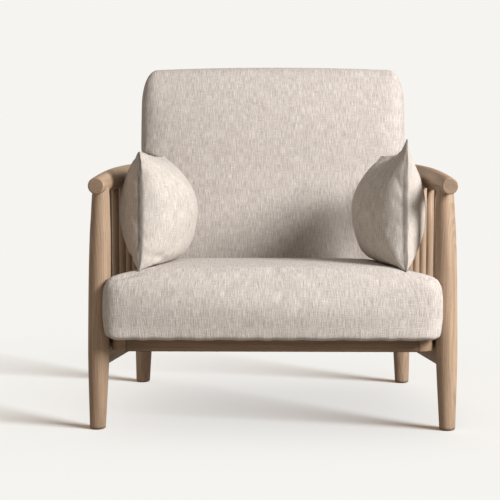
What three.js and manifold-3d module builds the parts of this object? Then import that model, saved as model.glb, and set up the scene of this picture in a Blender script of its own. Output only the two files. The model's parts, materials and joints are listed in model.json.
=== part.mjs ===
// Armchair with turned oak side frames, a seat and back upholstered in linen and two loose cushions.
// Millimetres, +Z up. The chair faces -Y, and its origin is the middle of its box at floor level.

import * as THREE from 'three';
import { mergeVertices } from 'three/addons/utils/BufferGeometryUtils.js';
import Module from 'manifold-3d';

const wasm = await Module();
wasm.setup();
const { degToRad } = THREE.MathUtils;

// Clearances
const fit = 0.3; // between two pieces that touch
const overrun = 3; // how far a cutting shape runs past the face that it cuts
const easeSteps = 3; // faces round an eased edge
const weldReach = 0.0005; // corners of one shape this close are one corner

// Side frames: each is a flat frame of two legs, a rail, an arm and spindles
const sideHalfWidth = 376; // mid-plane of the chair to the front leg's axis, at arm level
const sideToe = degToRad(5.4); // each side frame turns in towards the back
const legSpacing = 542; // front leg's axis to rear leg's axis
const legKick = 12; // how far a foot stands outside the leg's top
const legDiameter = 48.5;
const legProfileShares = [
  [0.012, 0.735],
  [0.153, 0.856],
  [0.229, 0.918],
  [0.338, 0.979],
  [0.5, 1],
  [0.67, 1],
  [0.822, 0.948],
  [0.908, 0.866],
  [0.979, 0.804],
  [1.03, 0.785],
]; // height as a share of the arm's underside, radius as a share of the leg's
const legRings = 11;
const legSides = 16;
const footEase = 2.5; // rounding round the foot's edge
const legTenonDiameter = 20;
const legTenonLength = 26; // above the arm's underside
const glideDiameter = 24;
const glideThickness = 4;
const glideSeat = 2.5; // depth of the glide's recess in the foot

// Arms
const armUnderside = 523; // floor to the underside
const armEndDiameter = 35.5;
const armHeight = 50; // at the middle, where the bar is deepest
const armFrontReach = 50; // past the front leg's axis
const armRearReach = 40; // past the rear leg's axis
const armTaperPower = 2.5; // how fast the bar deepens behind its round ends
const armRim = 2.6; // rounding round the end faces
const armStations = 10;
const armSides = 16;

// Spindles
const spindleCount = 6;
const spindleDiameter = 16;
const spindleArmDepth = 15; // into the arm
const spindleRailDepth = 12; // into the rail
const spindleChamfer = 1.5;
const spindleSides = 10;

// Side rails
const railHeight = 62;
const railThickness = 28;
const railBottomHeight = 144; // floor to the rail's underside, at the front leg
const railEase = 4; // rounding along its edges
const railTenonThickness = 12;
const railTenonHeight = 36;
const railTenonLength = 14; // past the leg's axis towards its far side

// Seat frame, which falls to the back with the side rails
const seatRake = degToRad(3.2);
const seatFrameBottom = 175.5; // floor to the frame's underside, at the front leg
const seatFrameHeight = 28;
const seatFrameDepth = 26; // width of its members seen from above
const seatFrameFront = 24; // front face, ahead of the front leg's axis
const seatFrameLegGap = 5; // from the front corners to the front legs
const cornerRadius = 34;
const cornerSteps = 6;
const seatFrameEase = 2.5;
const braceBoltGap = 8; // from a corner brace to the nearest bolt of the back
const braceHeight = 20;

// Bolts that hold the seat frame to the side rails, with their spacers
const boltPlaces = 2; // along each side
const boltFrontShare = 0.2; // place of the first and last, as a share of the leg spacing
const boltDiameter = 8;
const boltHeadDiameter = 14;
const boltHeadHeight = 5;
const boltGrip = 18; // into the side rail
const spacerDiameter = 22;
const boltSides = 8;

// Seat webbing and bottom cloth
const webWidth = 50;
const webThickness = 1.6;
const webLengthwise = 6;
const webCrosswise = 5;
const webNestShare = 0.7; // rise of a band that crosses another, as a share of its thickness
const webMargin = 6; // from the outer face of the frame to the end of a band
const bottomClothThickness = 1.2;
const bottomClothMargin = 6;

// Seat pad
const seatPadInset = 5; // from the front leg's axis to the pad's widest place, ahead of the legs
const seatPadFront = 72; // ahead of the front leg's axis
const seatPadHeight = 142; // at its edges
const seatPadCrown = 20;
const seatPadSideGap = 6; // to the spindles
const seatPadLegGap = 3.5; // round the front legs
const seatPadBackGap = 3; // to the back
const seatPadBulge = 8; // how far its upright faces swell
const seatPadDroop = 14; // how far its top falls to the back edge
const seatPadLip = 6; // how far it hangs in front of the front rail
const seatPadEdges = [36, 40, 34]; // rounding in width, depth and height
const seatPadSteps = [10, 7, 2];

// Back
const backLean = degToRad(12.5);
const backFootFront = 437; // front face behind the front leg's axis, at the back's lower edge
const backFootHeight = 203; // floor to the back's lower edge, at its front face
const backHeight = 632;
const backThickness = 122;
const backOverArms = 17; // above the arms, how far it reaches past the rear legs' axes
const backWaistGap = 5; // between the arms, from it to the rear legs
const backShoulderGap = 5; // above the arms
const backEdges = [32, 30, 88]; // rounding in width, depth and height
const backSteps = [9, 1, 8];
const backCrown = 9; // swell of its front face
const backTopRise = 8; // swell of its top edge
const panelThickness = 5;
const panelGap = 1.2; // round the panel, where the covers meet

// Frame inside the back
const postWidth = 45;
const postDepth = 28;
const postInset = 73; // from the side of the back's waist to a post's middle
const backTopPadding = 76; // from the top of the frame to the back's top
const backRailHeight = 60;
const backRailShares = [0.06, 0.5]; // underside of the lower and middle rail, as a share of the frame's top
const backWebsAcross = 6;
const backWebsUpright = 2;
const backBoltSpacing = 20; // between a post's two bolts
const backBoltGrip = 18; // into the post

// Loose cushions
const cushionLength = 372; // corner to corner, front to back
const cushionHeight = 272; // corner to corner, upright
const cushionInner = 100; // seam to the face that looks at the middle of the seat
const cushionOuter = 68; // seam to the face that leans on the spindles
const cushionSeam = 2; // half the thickness at the seam that runs round it
const cushionLongDraw = 15; // how far the long seams draw in between the corners
const cushionUprightDraw = 12; // the same for the upright seams
const cushionEndFullness = 0.7; // towards the upright seams; below 0.5 is fuller than a half ellipse
const cushionInnerFullness = [0.85, 0.4]; // towards the long seams, above and below the middle
const cushionOuterFullness = [0.7, 0.65];
const cushionTurn = degToRad(4.2); // towards the mid-plane at the back
const cushionFront = 12; // front corners ahead of the front leg's axis
const cushionInset = 82; // from the front leg's axis to the cushion's front corners
const cushionSteps = [16, 12];

const finish = {
  oak: { color: '#96755a', roughness: 0.62, metalness: 0 },
  oakShade: { color: '#7d614a', roughness: 0.66, metalness: 0 },
  pine: { color: '#c9a878', roughness: 0.75, metalness: 0 },
  linen: { color: '#d3c9bc', roughness: 0.95, metalness: 0 },
  linenCushion: { color: '#cbc0b2', roughness: 0.95, metalness: 0 },
  web: { color: '#6d5f4b', roughness: 0.9, metalness: 0 },
  blackCloth: { color: '#2a2725', roughness: 0.95, metalness: 0 },
  steel: { color: '#8e9195', roughness: 0.4, metalness: 1 },
  felt: { color: '#4b4239', roughness: 0.98, metalness: 0 },
};

// Shapes

// Joins equal corners, and drops the empty triangles that a pole leaves.
function weld(geometry) {
  const bare = geometry.clone();
  bare.deleteAttribute('normal');
  bare.deleteAttribute('uv');
  const merged = mergeVertices(bare, weldReach);
  const corners = merged.index.array;
  const kept = [];
  for (let i = 0; i < corners.length; i += 3) {
    const [a, b, c] = [corners[i], corners[i + 1], corners[i + 2]];
    if (a !== b && b !== c && c !== a) {
      kept.push(a, b, c);
    }
  }
  merged.setIndex(kept);
  return merged;
}

function toSolid(geometry) {
  const welded = weld(geometry);
  const triVerts = new Uint32Array(welded.index.array);
  const vertProperties = new Float32Array(welded.attributes.position.array);
  return new wasm.Manifold(new wasm.Mesh({ numProp: 3, vertProperties, triVerts }));
}

function fromSolid(solid) {
  const mesh = solid.getMesh();
  const geometry = new THREE.BufferGeometry();
  geometry.setAttribute('position', new THREE.BufferAttribute(mesh.vertProperties, 3));
  geometry.setIndex(new THREE.BufferAttribute(mesh.triVerts, 1));
  return geometry;
}

function cut(geometry, tools) {
  return fromSolid(tools.reduce((solid, tool) => solid.subtract(toSolid(tool)), toSolid(geometry)));
}

function join(geometry, others) {
  return fromSolid(others.reduce((solid, other) => solid.add(toSolid(other)), toSolid(geometry)));
}

function block(width, depth, height) {
  return new THREE.BoxGeometry(width, depth, height);
}

// Turned piece on the Z axis, from a profile of [radius, height] points that starts and ends on the axis.
function turned(profile, sides) {
  const points = profile.map(([radius, height]) => new THREE.Vector2(radius, height));
  return new THREE.LatheGeometry(points, sides).rotateX(Math.PI / 2);
}

function rod(radius, bottom, top, sides) {
  return turned([[0, bottom], [radius, bottom], [radius, top], [0, top]], sides);
}

function chamferedRod(radius, bottom, top, chamfer, sides) {
  const profile = [
    [0, bottom],
    [radius - chamfer, bottom],
    [radius, bottom + chamfer],
    [radius, top - chamfer],
    [radius - chamfer, top],
    [0, top],
  ];
  return turned(profile, sides);
}

// Closed skin over rings of equally many points, with a flat fan over each end.
function loft(rings) {
  const count = rings[0].length;
  const points = rings.flat();
  const corners = [];
  for (let ring = 0; ring < rings.length - 1; ring += 1) {
    for (let i = 0; i < count; i += 1) {
      const next = (i + 1) % count;
      const [a, b] = [ring * count + i, ring * count + next];
      corners.push(a, b, b + count, a, b + count, a + count);
    }
  }
  const last = (rings.length - 1) * count;
  for (let i = 1; i < count - 1; i += 1) {
    corners.push(0, i + 1, i, last, last + i, last + i + 1);
  }
  const geometry = new THREE.BufferGeometry().setFromPoints(points);
  geometry.setIndex(corners);
  return geometry;
}

// Rectangular section with rounded corners, centred, in XZ.
function easedSection(width, height, ease) {
  const [w, h] = [width / 2 - ease, height / 2 - ease];
  const section = [];
  for (const [quarter, [x, z]] of [[w, h], [-w, h], [-w, -h], [w, -h]].entries()) {
    for (let i = 0; i <= easeSteps; i += 1) {
      const angle = (Math.PI / 2) * (quarter + i / easeSteps);
      section.push(new THREE.Vector3(x + ease * Math.cos(angle), 0, z + ease * Math.sin(angle)));
    }
  }
  return section;
}

// Bar along +Y with rounded edges, its section centred on the axis.
function easedBar(width, height, length, ease) {
  const section = easedSection(width, height, ease);
  return loft([0, length].map((along) => section.map((point) => point.clone().setY(along)).reverse()));
}

// Plate of the given outline in XY, from the height zero upwards.
function plate(outline, height, curveSegments = 8) {
  return new THREE.ExtrudeGeometry(outline, { depth: height, bevelEnabled: false, curveSegments });
}

// Places along one axis of a rounded block: close together round the edges, even in between.
function stations(half, edge, steps) {
  const flat = half - edge;
  const bend = edge * Math.tan(Math.PI / 8);
  const inner = [];
  for (let i = 0; i <= steps; i += 1) {
    inner.push(flat * ((2 * i) / steps - 1));
  }
  return [-half, -flat - bend, ...inner, flat + bend, half];
}

// Block with rounded edges, centred on the origin, with enough points on its faces to be swelled.
// The swell is given each point with its place as shares of the half sizes, and moves the point.
function padding(halves, edges, steps, swell) {
  const places = [0, 1, 2].map((axis) => stations(halves[axis], edges[axis], steps[axis]));
  const counts = places.map((list) => list.length - 1);
  const form = weld(new THREE.BoxGeometry(1, 1, 1, ...counts));
  const corners = form.attributes.position;
  const point = new THREE.Vector3();
  for (let i = 0; i < corners.count; i += 1) {
    point.fromBufferAttribute(corners, i);
    const onBox = point.toArray().map((value, axis) => places[axis][Math.round((value + 0.5) * counts[axis])]);
    const core = onBox.map((value, axis) => {
      const flat = halves[axis] - edges[axis];
      return Math.min(Math.max(value, -flat), flat);
    });
    const out = new THREE.Vector3(...onBox.map((value, axis) => (value - core[axis]) / edges[axis])).normalize();
    point.set(...core.map((value, axis) => value + edges[axis] * out.getComponent(axis)));
    swell(point, point.toArray().map((value, axis) => value / halves[axis]));
    corners.setXYZ(i, point.x, point.y, point.z);
  }
  return form;
}

function piece(name, geometry, look) {
  const material = new THREE.MeshStandardMaterial(finish[look]);
  const mesh = new THREE.Mesh(geometry, material);
  mesh.name = name;
  return mesh;
}

// Widths that follow from the side frames

const rearLegX = sideHalfWidth - legSpacing * Math.sin(sideToe);
const seatFrameHalfWidth = legAxisAt(seatFrameBottom) - legDiameter / 2 - seatFrameLegGap;
const seatPadHalfWidth = sideHalfWidth - seatPadInset;
const backHalfWidth = rearLegX + backOverArms;
const backWaistHalfWidth = rearLegX - legDiameter / 2 - backWaistGap;
const postHalfSpacing = backWaistHalfWidth - postInset;
const backFrameTop = backHeight - backTopPadding; // from the back's lower edge
const cushionHalfSpacing = sideHalfWidth - cushionInset;

// A front leg's axis at a height above the floor, from the mid-plane.
function legAxisAt(height) {
  return sideHalfWidth + legKick * (1 - height / armUnderside);
}

// The groups, which give each part of the chair its own axes

const armchair = new THREE.Group();

function placed(parent, position, turn) {
  const group = new THREE.Group();
  group.position.set(...position);
  group.rotation.set(...turn);
  parent.add(group);
  group.updateWorldMatrix(true, false);
  return group;
}

// In a side frame's axes +Y runs from the front leg to the rear leg.
const sideFrames = {
  left: placed(armchair, [-sideHalfWidth, 0, 0], [0, 0, -sideToe]),
  right: placed(armchair, [sideHalfWidth, 0, 0], [0, 0, sideToe]),
};
// The seat's axes start under the seat frame, the back's at the lower edge of its front face.
const seat = placed(armchair, [0, 0, seatFrameBottom], [-seatRake, 0, 0]);
const back = placed(armchair, [0, backFootFront, backFootHeight], [-backLean, 0, 0]);

function sideOf(label) {
  return label === 'right' ? 1 : -1;
}

// A shape in one group's axes, given in another's.
function seenFrom(geometry, from, to) {
  const change = to.matrixWorld.clone().invert().multiply(from.matrixWorld);
  return geometry.clone().applyMatrix4(change);
}

// Where the seat frame meets its neighbours, in the seat's axes

const cornerX = seatFrameHalfWidth - cornerRadius;
const cornerY = cornerRadius - seatFrameFront;
// Where the outer face of a side member starts, at the end of the corner block's bend
const memberX = cornerX + cornerRadius * Math.cos(sideToe);
const memberY = cornerY + cornerRadius * Math.sin(sideToe);
// The plane of the posts' front faces, in the back's axes
const postFront = backThickness - panelThickness - postDepth - 2 * fit;
// Where that plane cuts the middle of the rear rail's height, in the seat's axes
const rearRailBack = rearRailPlace();

function rearRailPlace() {
  const railMiddle = seatFrameHeight / 2;
  const foot = back.localToWorld(new THREE.Vector3(0, postFront, 0));
  const up = back.localToWorld(new THREE.Vector3(0, postFront, 1));
  seat.worldToLocal(foot);
  seat.worldToLocal(up);
  return foot.y + ((up.y - foot.y) * (railMiddle - foot.z)) / (up.z - foot.z);
}

// Outer face of the side member, at a place in the seat's depth.
function memberOuterAt(y) {
  return memberX - (y - memberY) * Math.tan(sideToe);
}

function memberInnerAt(y) {
  return memberOuterAt(y) - seatFrameDepth / Math.cos(sideToe);
}

// Side frames

// Slants an upright shape so that its foot stands outwards and stays flat on the floor.
function slant(geometry, side) {
  const lean = new THREE.Matrix4();
  lean.elements[8] = (-side * legKick) / armUnderside;
  return geometry.applyMatrix4(lean).translate(side * legKick, 0, 0);
}

function legBody(side, grow) {
  const radius = legDiameter / 2;
  const shareCurve = new THREE.SplineCurve(legProfileShares.map(([up, out]) => new THREE.Vector2(out, up)));
  const curve = shareCurve.getPoints(legRings).map(({ x, y }) => [radius * x + grow, armUnderside * y]);
  const footRadius = curve[0][0];
  const profile = [[0, 0], [footRadius - footEase, 0], ...curve, [0, curve.at(-1)[1]]];
  return slant(turned(profile, legSides), side);
}

function legTenon(side, grow) {
  const top = armUnderside + legTenonLength + grow;
  return slant(rod(legTenonDiameter / 2 + grow, armUnderside - legTenonLength, top, legSides), side);
}

// Height of the arm's section, along the frame.
function armHeightAt(along) {
  const middle = (legSpacing + armRearReach - armFrontReach) / 2;
  const half = (legSpacing + armRearReach + armFrontReach) / 2;
  const fromMiddle = Math.min(1, Math.abs(along - middle) / half);
  return armHeight - (armHeight - armEndDiameter) * Math.pow(fromMiddle, armTaperPower);
}

function armBody(grow) {
  const [front, rear] = [-armFrontReach, legSpacing + armRearReach];
  const ring = (along, inset) => {
    const height = armHeightAt(along);
    return Array.from({ length: armSides }, (_, i) => {
      const angle = (-2 * Math.PI * i) / armSides;
      const across = (armEndDiameter / 2 - inset + grow) * Math.cos(angle);
      const up = (height / 2 - inset + grow) * Math.sin(angle);
      return new THREE.Vector3(across, along, armUnderside + height / 2 + up);
    });
  };
  const rimStep = armRim * (1 - Math.SQRT1_2);
  const rings = [ring(front, armRim), ring(front + rimStep, rimStep)];
  const [start, end] = [front + armRim, rear - armRim];
  for (let i = 0; i <= armStations; i += 1) {
    const eased = (1 - Math.cos((Math.PI * i) / armStations)) / 2;
    rings.push(ring(start + (end - start) * eased, 0));
  }
  rings.push(ring(rear - rimStep, rimStep), ring(rear, armRim));
  return loft(rings);
}

const railLength = legSpacing / Math.cos(seatRake); // from leg axis to leg axis, down its slope

// From the rail's own axes, with its middle line on +Y, to the side frame's.
function onRail(geometry) {
  return geometry.rotateX(-seatRake).translate(0, 0, railBottomHeight + railHeight / 2);
}

function railTopAt(along) {
  const halfHeight = railHeight / 2;
  return railBottomHeight + halfHeight + halfHeight / Math.cos(seatRake) - along * Math.tan(seatRake);
}

function railTenons(grow) {
  const length = legDiameter / 2 + railTenonLength;
  return [1, -1].map((towards) => {
    const leg = towards > 0 ? 0 : railLength;
    const size = [railTenonThickness, length, railTenonHeight].map((value) => value + 2 * grow);
    return onRail(block(...size).translate(0, leg + towards * (length / 2 - railTenonLength), 0));
  });
}

function spindlePlaces() {
  const pitch = legSpacing / (spindleCount + 1);
  return Array.from({ length: spindleCount }, (_, i) => pitch * (i + 1));
}

function spindleEnds(along) {
  return [railTopAt(along) - spindleRailDepth, armUnderside + spindleArmDepth];
}

function spindle(along) {
  const [bottom, top] = spindleEnds(along);
  return chamferedRod(spindleDiameter / 2, bottom, top, spindleChamfer, spindleSides).translate(0, along, 0);
}

// The space of a spindle in the arm and in the rail.
function spindleSocket(along) {
  const [bottom, top] = spindleEnds(along);
  return rod(spindleDiameter / 2 + fit, bottom - fit, top + fit, spindleSides).translate(0, along, 0);
}

function footRecess(side) {
  return rod(glideDiameter / 2 + fit, -overrun, glideSeat + fit, legSides).translate(side * legKick, 0, 0);
}

function leg(side, along) {
  const cuts = [armBody(fit).translate(0, -along, 0), footRecess(side)];
  const coped = join(cut(legBody(side, 0), cuts), [legTenon(side, 0)]);
  return cut(coped, railTenons(fit).map((tenon) => tenon.translate(0, -along, 0)));
}

function arm(side) {
  const sockets = [0, legSpacing].map((along) => legTenon(side, fit).translate(0, along, 0));
  return cut(armBody(0), [...sockets, ...spindlePlaces().map(spindleSocket)]);
}

function sideRail(side, frame) {
  const bar = onRail(easedBar(railThickness, railHeight, railLength, railEase));
  const legs = [0, legSpacing].map((along) => legBody(side, fit).translate(0, along, 0));
  const sockets = spindlePlaces().map(spindleSocket);
  const holes = sideBolts(side, fit).map((bolt) => seenFrom(bolt, seat, frame));
  return cut(join(cut(bar, legs), railTenons(0)), [...sockets, ...holes]);
}

for (const [label, frame] of Object.entries(sideFrames)) {
  const side = sideOf(label);
  for (const [end, along] of [['front', 0], ['rear', legSpacing]]) {
    const turnedLeg = piece(`${end}_leg_${label}`, leg(side, along), 'oak');
    const glide = rod(glideDiameter / 2, glideSeat - glideThickness, glideSeat, legSides);
    const footGlide = piece(`${end}_glide_${label}`, glide, 'felt');
    turnedLeg.position.set(0, along, 0);
    footGlide.position.set(side * legKick, along, 0);
    frame.add(turnedLeg, footGlide);
  }
  spindlePlaces().forEach((along, i) => {
    frame.add(piece(`spindle_${label}_${i + 1}`, spindle(along), 'oak'));
  });
  frame.add(piece(`arm_${label}`, arm(side), 'oak'));
  frame.add(piece(`side_rail_${label}`, sideRail(side, frame), 'oak'));
}

// Seat frame

function frontRail() {
  const length = 2 * (cornerX - fit);
  const bar = easedBar(seatFrameDepth, seatFrameHeight, length, seatFrameEase).rotateZ(-Math.PI / 2);
  return bar.translate(-length / 2, seatFrameDepth / 2 - seatFrameFront, seatFrameHeight / 2);
}

function cornerBlock(side) {
  const section = easedSection(seatFrameDepth, seatFrameHeight, seatFrameEase);
  const middle = cornerRadius - seatFrameDepth / 2;
  const rings = Array.from({ length: cornerSteps + 1 }, (_, i) => {
    const angle = -Math.PI / 2 + ((Math.PI / 2 + sideToe) * i) / cornerSteps;
    return section.map(({ x, z }) => {
      const out = middle + x;
      return new THREE.Vector3(side * out * Math.cos(angle), out * Math.sin(angle), z);
    });
  });
  const facing = side > 0 ? rings.map((ring) => ring.reverse()) : rings;
  return loft(facing).translate(side * cornerX, cornerY, seatFrameHeight / 2);
}

function memberLength() {
  return (rearRailBack - memberY - seatFrameHeight / 2) / Math.cos(sideToe);
}

function sideMember(side) {
  const bar = easedBar(seatFrameDepth, seatFrameHeight, memberLength(), seatFrameEase);
  const turnedIn = bar.translate((-side * seatFrameDepth) / 2, fit, 0).rotateZ(side * sideToe);
  const member = turnedIn.translate(side * memberX, memberY, seatFrameHeight / 2);
  return cut(member, sideBolts(side, fit));
}

// A bolt's middle line crosses the seat's side member, the spacer and the side rail.
function boltAxes(side) {
  const span = (1 - 2 * boltFrontShare) / (boltPlaces - 1);
  return Array.from({ length: boltPlaces }, (_, i) => {
    const y = legSpacing * (boltFrontShare + span * i);
    return { x: side * memberOuterAt(y), y };
  });
}

// From a shape on +Z, which starts at the member's outer face and points outwards, to the bolt's place.
function onBolt(geometry, side, { x, y }) {
  return geometry.rotateY((side * Math.PI) / 2).rotateZ(side * sideToe).translate(x, y, seatFrameHeight / 2);
}

function spacerGap() {
  const railInner = (sideHalfWidth - memberX) * Math.cos(sideToe) - memberY * Math.sin(sideToe);
  return railInner - railThickness / 2;
}

function boltShape(inner, grip, grow) {
  const shank = rod(boltDiameter / 2 + grow, -inner - fit, grip + grow, boltSides);
  const head = rod(boltHeadDiameter / 2 + grow, -inner - boltHeadHeight - fit, -inner - fit, boltSides);
  return join(shank, [head]);
}

function sideBolts(side, grow) {
  return boltAxes(side).map((axis) => {
    return onBolt(boltShape(seatFrameDepth, spacerGap() + boltGrip, grow), side, axis);
  });
}

function spacers(side) {
  return boltAxes(side).map((axis) => {
    const disc = rod(spacerDiameter / 2, fit, spacerGap() - fit, legSides);
    const bore = rod(boltDiameter / 2 + fit, -overrun, spacerGap() + overrun, boltSides);
    return onBolt(cut(disc, [bore]), side, axis);
  });
}

// Everything behind the posts' front faces, in the seat's axes.
function behindPosts(gap) {
  const reach = backHeight;
  const space = block(reach * 2, reach, reach * 2).translate(0, reach / 2 + postFront - gap, 0);
  return seenFrom(space, back, seat);
}

function rearRail() {
  const front = rearRailBack - seatFrameDepth;
  const rear = rearRailBack + seatFrameHeight / 2;
  const outline = new THREE.Shape();
  outline.moveTo(-memberInnerAt(front) + fit, front);
  outline.lineTo(memberInnerAt(front) - fit, front);
  outline.lineTo(memberInnerAt(rear) - fit, rear);
  outline.lineTo(-memberInnerAt(rear) + fit, rear);
  return cut(plate(outline, seatFrameHeight), [behindPosts(fit), ...backBolts(fit)]);
}

function cornerBrace(side) {
  const y = rearRailBack - seatFrameDepth - fit;
  const x = (at) => side * (memberInnerAt(at) - fit);
  const boltReach = postHalfSpacing + (backBoltSpacing + boltHeadDiameter) / 2;
  const braceLeg = memberInnerAt(y) - boltReach - braceBoltGap;
  const outline = new THREE.Shape();
  outline.moveTo(x(y), y);
  outline.lineTo(x(y) - side * braceLeg, y);
  outline.lineTo(x(y - braceLeg), y - braceLeg);
  return plate(outline, braceHeight).translate(0, 0, (seatFrameHeight - braceHeight) / 2);
}

function seatWebbing() {
  const level = seatFrameHeight + fit + webThickness / 2;
  const nearEdge = webMargin - seatFrameFront;
  const farEdge = rearRailBack - webMargin;
  const span = 2 * (memberInnerAt(farEdge) - webWidth / 2);
  const lengthwise = Array.from({ length: webLengthwise }, (_, i) => {
    const x = span * (i / (webLengthwise - 1) - 0.5);
    return block(webWidth, farEdge - nearEdge, webThickness).translate(x, (nearEdge + farEdge) / 2, level);
  });
  const crosswise = Array.from({ length: webCrosswise }, (_, i) => {
    const y = nearEdge + (farEdge - nearEdge) * ((i + 1) / (webCrosswise + 1));
    const width = 2 * (memberOuterAt(y + webWidth / 2) - webMargin);
    return block(width, webWidth, webThickness).translate(0, y, level + webThickness * webNestShare);
  });
  return join(lengthwise[0], [...lengthwise.slice(1), ...crosswise]);
}

function bottomCloth() {
  const front = bottomClothMargin - seatFrameFront;
  const rear = rearRailBack - bottomClothMargin;
  const half = (y) => memberOuterAt(y) - bottomClothMargin;
  const outline = new THREE.Shape();
  outline.moveTo(-cornerX, front);
  outline.lineTo(cornerX, front);
  outline.lineTo(half(cornerY), cornerY);
  outline.lineTo(half(rear), rear);
  outline.lineTo(-half(rear), rear);
  outline.lineTo(-half(cornerY), cornerY);
  return plate(outline, bottomClothThickness).translate(0, 0, -fit - bottomClothThickness);
}

// Seat pad

function seatPadHalfAt(y) {
  const spindleFace = (sideHalfWidth - y * Math.sin(sideToe)) - spindleDiameter / 2 - seatPadSideGap;
  return Math.min(seatPadHalfWidth, spindleFace);
}

function seatPad() {
  const bottom = seatFrameHeight + (1 + webNestShare) * webThickness + 2 * fit;
  const rear = backFootFront + seatPadBulge;
  const halves = [seatPadHalfWidth, (rear + seatPadFront) / 2, seatPadHeight / 2];
  const middleY = (rear - seatPadFront) / 2;
  const form = padding(halves, seatPadEdges, seatPadSteps, (point, [across, deep, up]) => {
    const inFront = Math.max(0, -deep);
    const behind = Math.max(0, deep);
    const fullAcross = 1 - across ** 4;
    const fullDeep = 1 - deep ** 2;
    const fullUp = 1 - up ** 2;
    point.y -= seatPadBulge * inFront ** 4 * fullUp * (1 - across ** 4);
    point.y += behind * Math.tan(backLean - seatRake) * (point.z + halves[2]);
    point.x *= (seatPadHalfAt(middleY + point.y) + seatPadBulge * (fullUp - 1)) / seatPadHalfWidth;
    if (up > 0) {
      point.z += up * (seatPadCrown * fullAcross * fullDeep - seatPadDroop * behind ** 2);
    } else {
      point.z += up * seatPadLip * inFront ** 8;
    }
  });
  form.translate(0, middleY, bottom + halves[2]);
  const legs = Object.entries(sideFrames).map(([label, frame]) => {
    return seenFrom(legBody(sideOf(label), seatPadLegGap), frame, seat);
  });
  const ahead = backForm().translate(0, -seatPadBackGap, 0);
  return cut(form, [...legs, seenFrom(ahead, back, seat)]);
}

const pad = piece('seat_pad', seatPad(), 'linen');
seat.add(
  piece('seat_front_rail', frontRail(), 'oakShade'),
  piece('seat_corner_block_left', cornerBlock(-1), 'oakShade'),
  piece('seat_corner_block_right', cornerBlock(1), 'oakShade'),
  piece('seat_side_member_left', sideMember(-1), 'oakShade'),
  piece('seat_side_member_right', sideMember(1), 'oakShade'),
  piece('seat_rear_rail', rearRail(), 'oakShade'),
  piece('seat_corner_brace_left', cornerBrace(-1), 'pine'),
  piece('seat_corner_brace_right', cornerBrace(1), 'pine'),
  piece('seat_webbing', seatWebbing(), 'web'),
  piece('seat_bottom_cloth', bottomCloth(), 'blackCloth'),
  pad,
);
for (const label of Object.keys(sideFrames)) {
  sideBolts(sideOf(label), 0).forEach((bolt, i) => seat.add(piece(`seat_bolt_${label}_${i + 1}`, bolt, 'steel')));
  spacers(sideOf(label)).forEach((disc, i) => seat.add(piece(`seat_spacer_${label}_${i + 1}`, disc, 'steel')));
}

// Back

function framePocket() {
  const half = postHalfSpacing + postWidth / 2 + panelGap;
  const front = postFront - (1 + webNestShare) * webThickness - 2 * fit;
  const [bottom, top] = [-overrun, backFrameTop + panelGap];
  const depth = backThickness + overrun - front;
  return block(2 * half, depth, top - bottom).translate(0, front + depth / 2, (bottom + top) / 2);
}

// The space beside the waist, which the arms and the rear legs pass through.
function besideWaist(side) {
  const top = armUnderside + armHeight + backShoulderGap;
  const width = backHalfWidth - backWaistHalfWidth + overrun;
  const space = block(width, 2 * backHeight, 2 * top);
  return seenFrom(space.translate(side * (backWaistHalfWidth + width / 2), backFootFront, 0), armchair, back);
}

// The whole upholstered back, whose lower edge is still round and runs on below the origin.
function backForm() {
  const below = backEdges[2];
  const height = backHeight - backTopRise;
  const halves = [backHalfWidth, backThickness / 2, (height + below) / 2];
  const form = padding(halves, backEdges, backSteps, (point, [across, deep, up]) => {
    if (deep < 0) {
      point.y += deep * backCrown * (1 - across ** 2) * (1 - up ** 2);
    }
    point.z += Math.max(0, up) ** 4 * backTopRise * (1 - across ** 2);
  });
  return form.translate(0, halves[1], halves[2] - below);
}

function backPad() {
  const below = backEdges[2];
  const underneath = block(3 * backHalfWidth, 3 * backThickness, 2 * below).translate(0, 0, -below);
  return cut(backForm(), [underneath, framePocket(), besideWaist(-1), besideWaist(1)]);
}

// The lower end of a post is cut level with the underside of the seat frame.
function underSeat() {
  const reach = backHeight;
  const space = block(reach * 2, reach * 2, reach).translate(0, rearRailBack, -reach / 2);
  return seenFrom(space, seat, back);
}

function post(side) {
  const below = postDepth + 2 * seatFrameHeight;
  const height = backFrameTop + below;
  const bar = block(postWidth, postDepth, height);
  const standing = bar.translate(side * postHalfSpacing, postFront + postDepth / 2, height / 2 - below);
  return cut(standing, [underSeat(), ...backBolts(fit).map((bolt) => seenFrom(bolt, seat, back))]);
}

// Bolts through the rear seat rail into the posts, in the seat's axes.
function backBolts(grow) {
  const front = rearRailBack - seatFrameDepth;
  const offsets = [-backBoltSpacing / 2, backBoltSpacing / 2];
  const places = [-1, 1].flatMap((side) => offsets.map((offset) => side * postHalfSpacing + offset));
  return places.map((x) => {
    const bolt = boltShape(0, seatFrameDepth + seatFrameHeight / 2 + backBoltGrip, grow);
    return bolt.rotateX(-Math.PI / 2).translate(x, front, seatFrameHeight / 2);
  });
}

function backRail(bottom) {
  const width = 2 * (postHalfSpacing - postWidth / 2 - fit);
  return block(width, postDepth, backRailHeight).translate(0, postFront + postDepth / 2, bottom + backRailHeight / 2);
}

function backWebbing() {
  const width = 2 * (postHalfSpacing + postWidth / 2 - webMargin);
  const level = postFront - fit - webThickness / 2;
  const pitch = backFrameTop / (backWebsAcross + 1);
  const across = Array.from({ length: backWebsAcross }, (_, i) => {
    return block(width, webThickness, webWidth).translate(0, level, pitch * (i + 1));
  });
  const upright = Array.from({ length: backWebsUpright }, (_, i) => {
    const x = width * ((i + 1) / (backWebsUpright + 1) - 0.5);
    const band = block(webWidth, webThickness, backFrameTop - 2 * webMargin);
    return band.translate(x, level - webThickness * webNestShare, backFrameTop / 2);
  });
  return join(across[0], [...across.slice(1), ...upright]);
}

function outerPanel() {
  const width = 2 * (postHalfSpacing + postWidth / 2);
  return block(width, panelThickness - fit, backFrameTop)
    .translate(0, backThickness - (panelThickness - fit) / 2 - fit, backFrameTop / 2);
}

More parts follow.
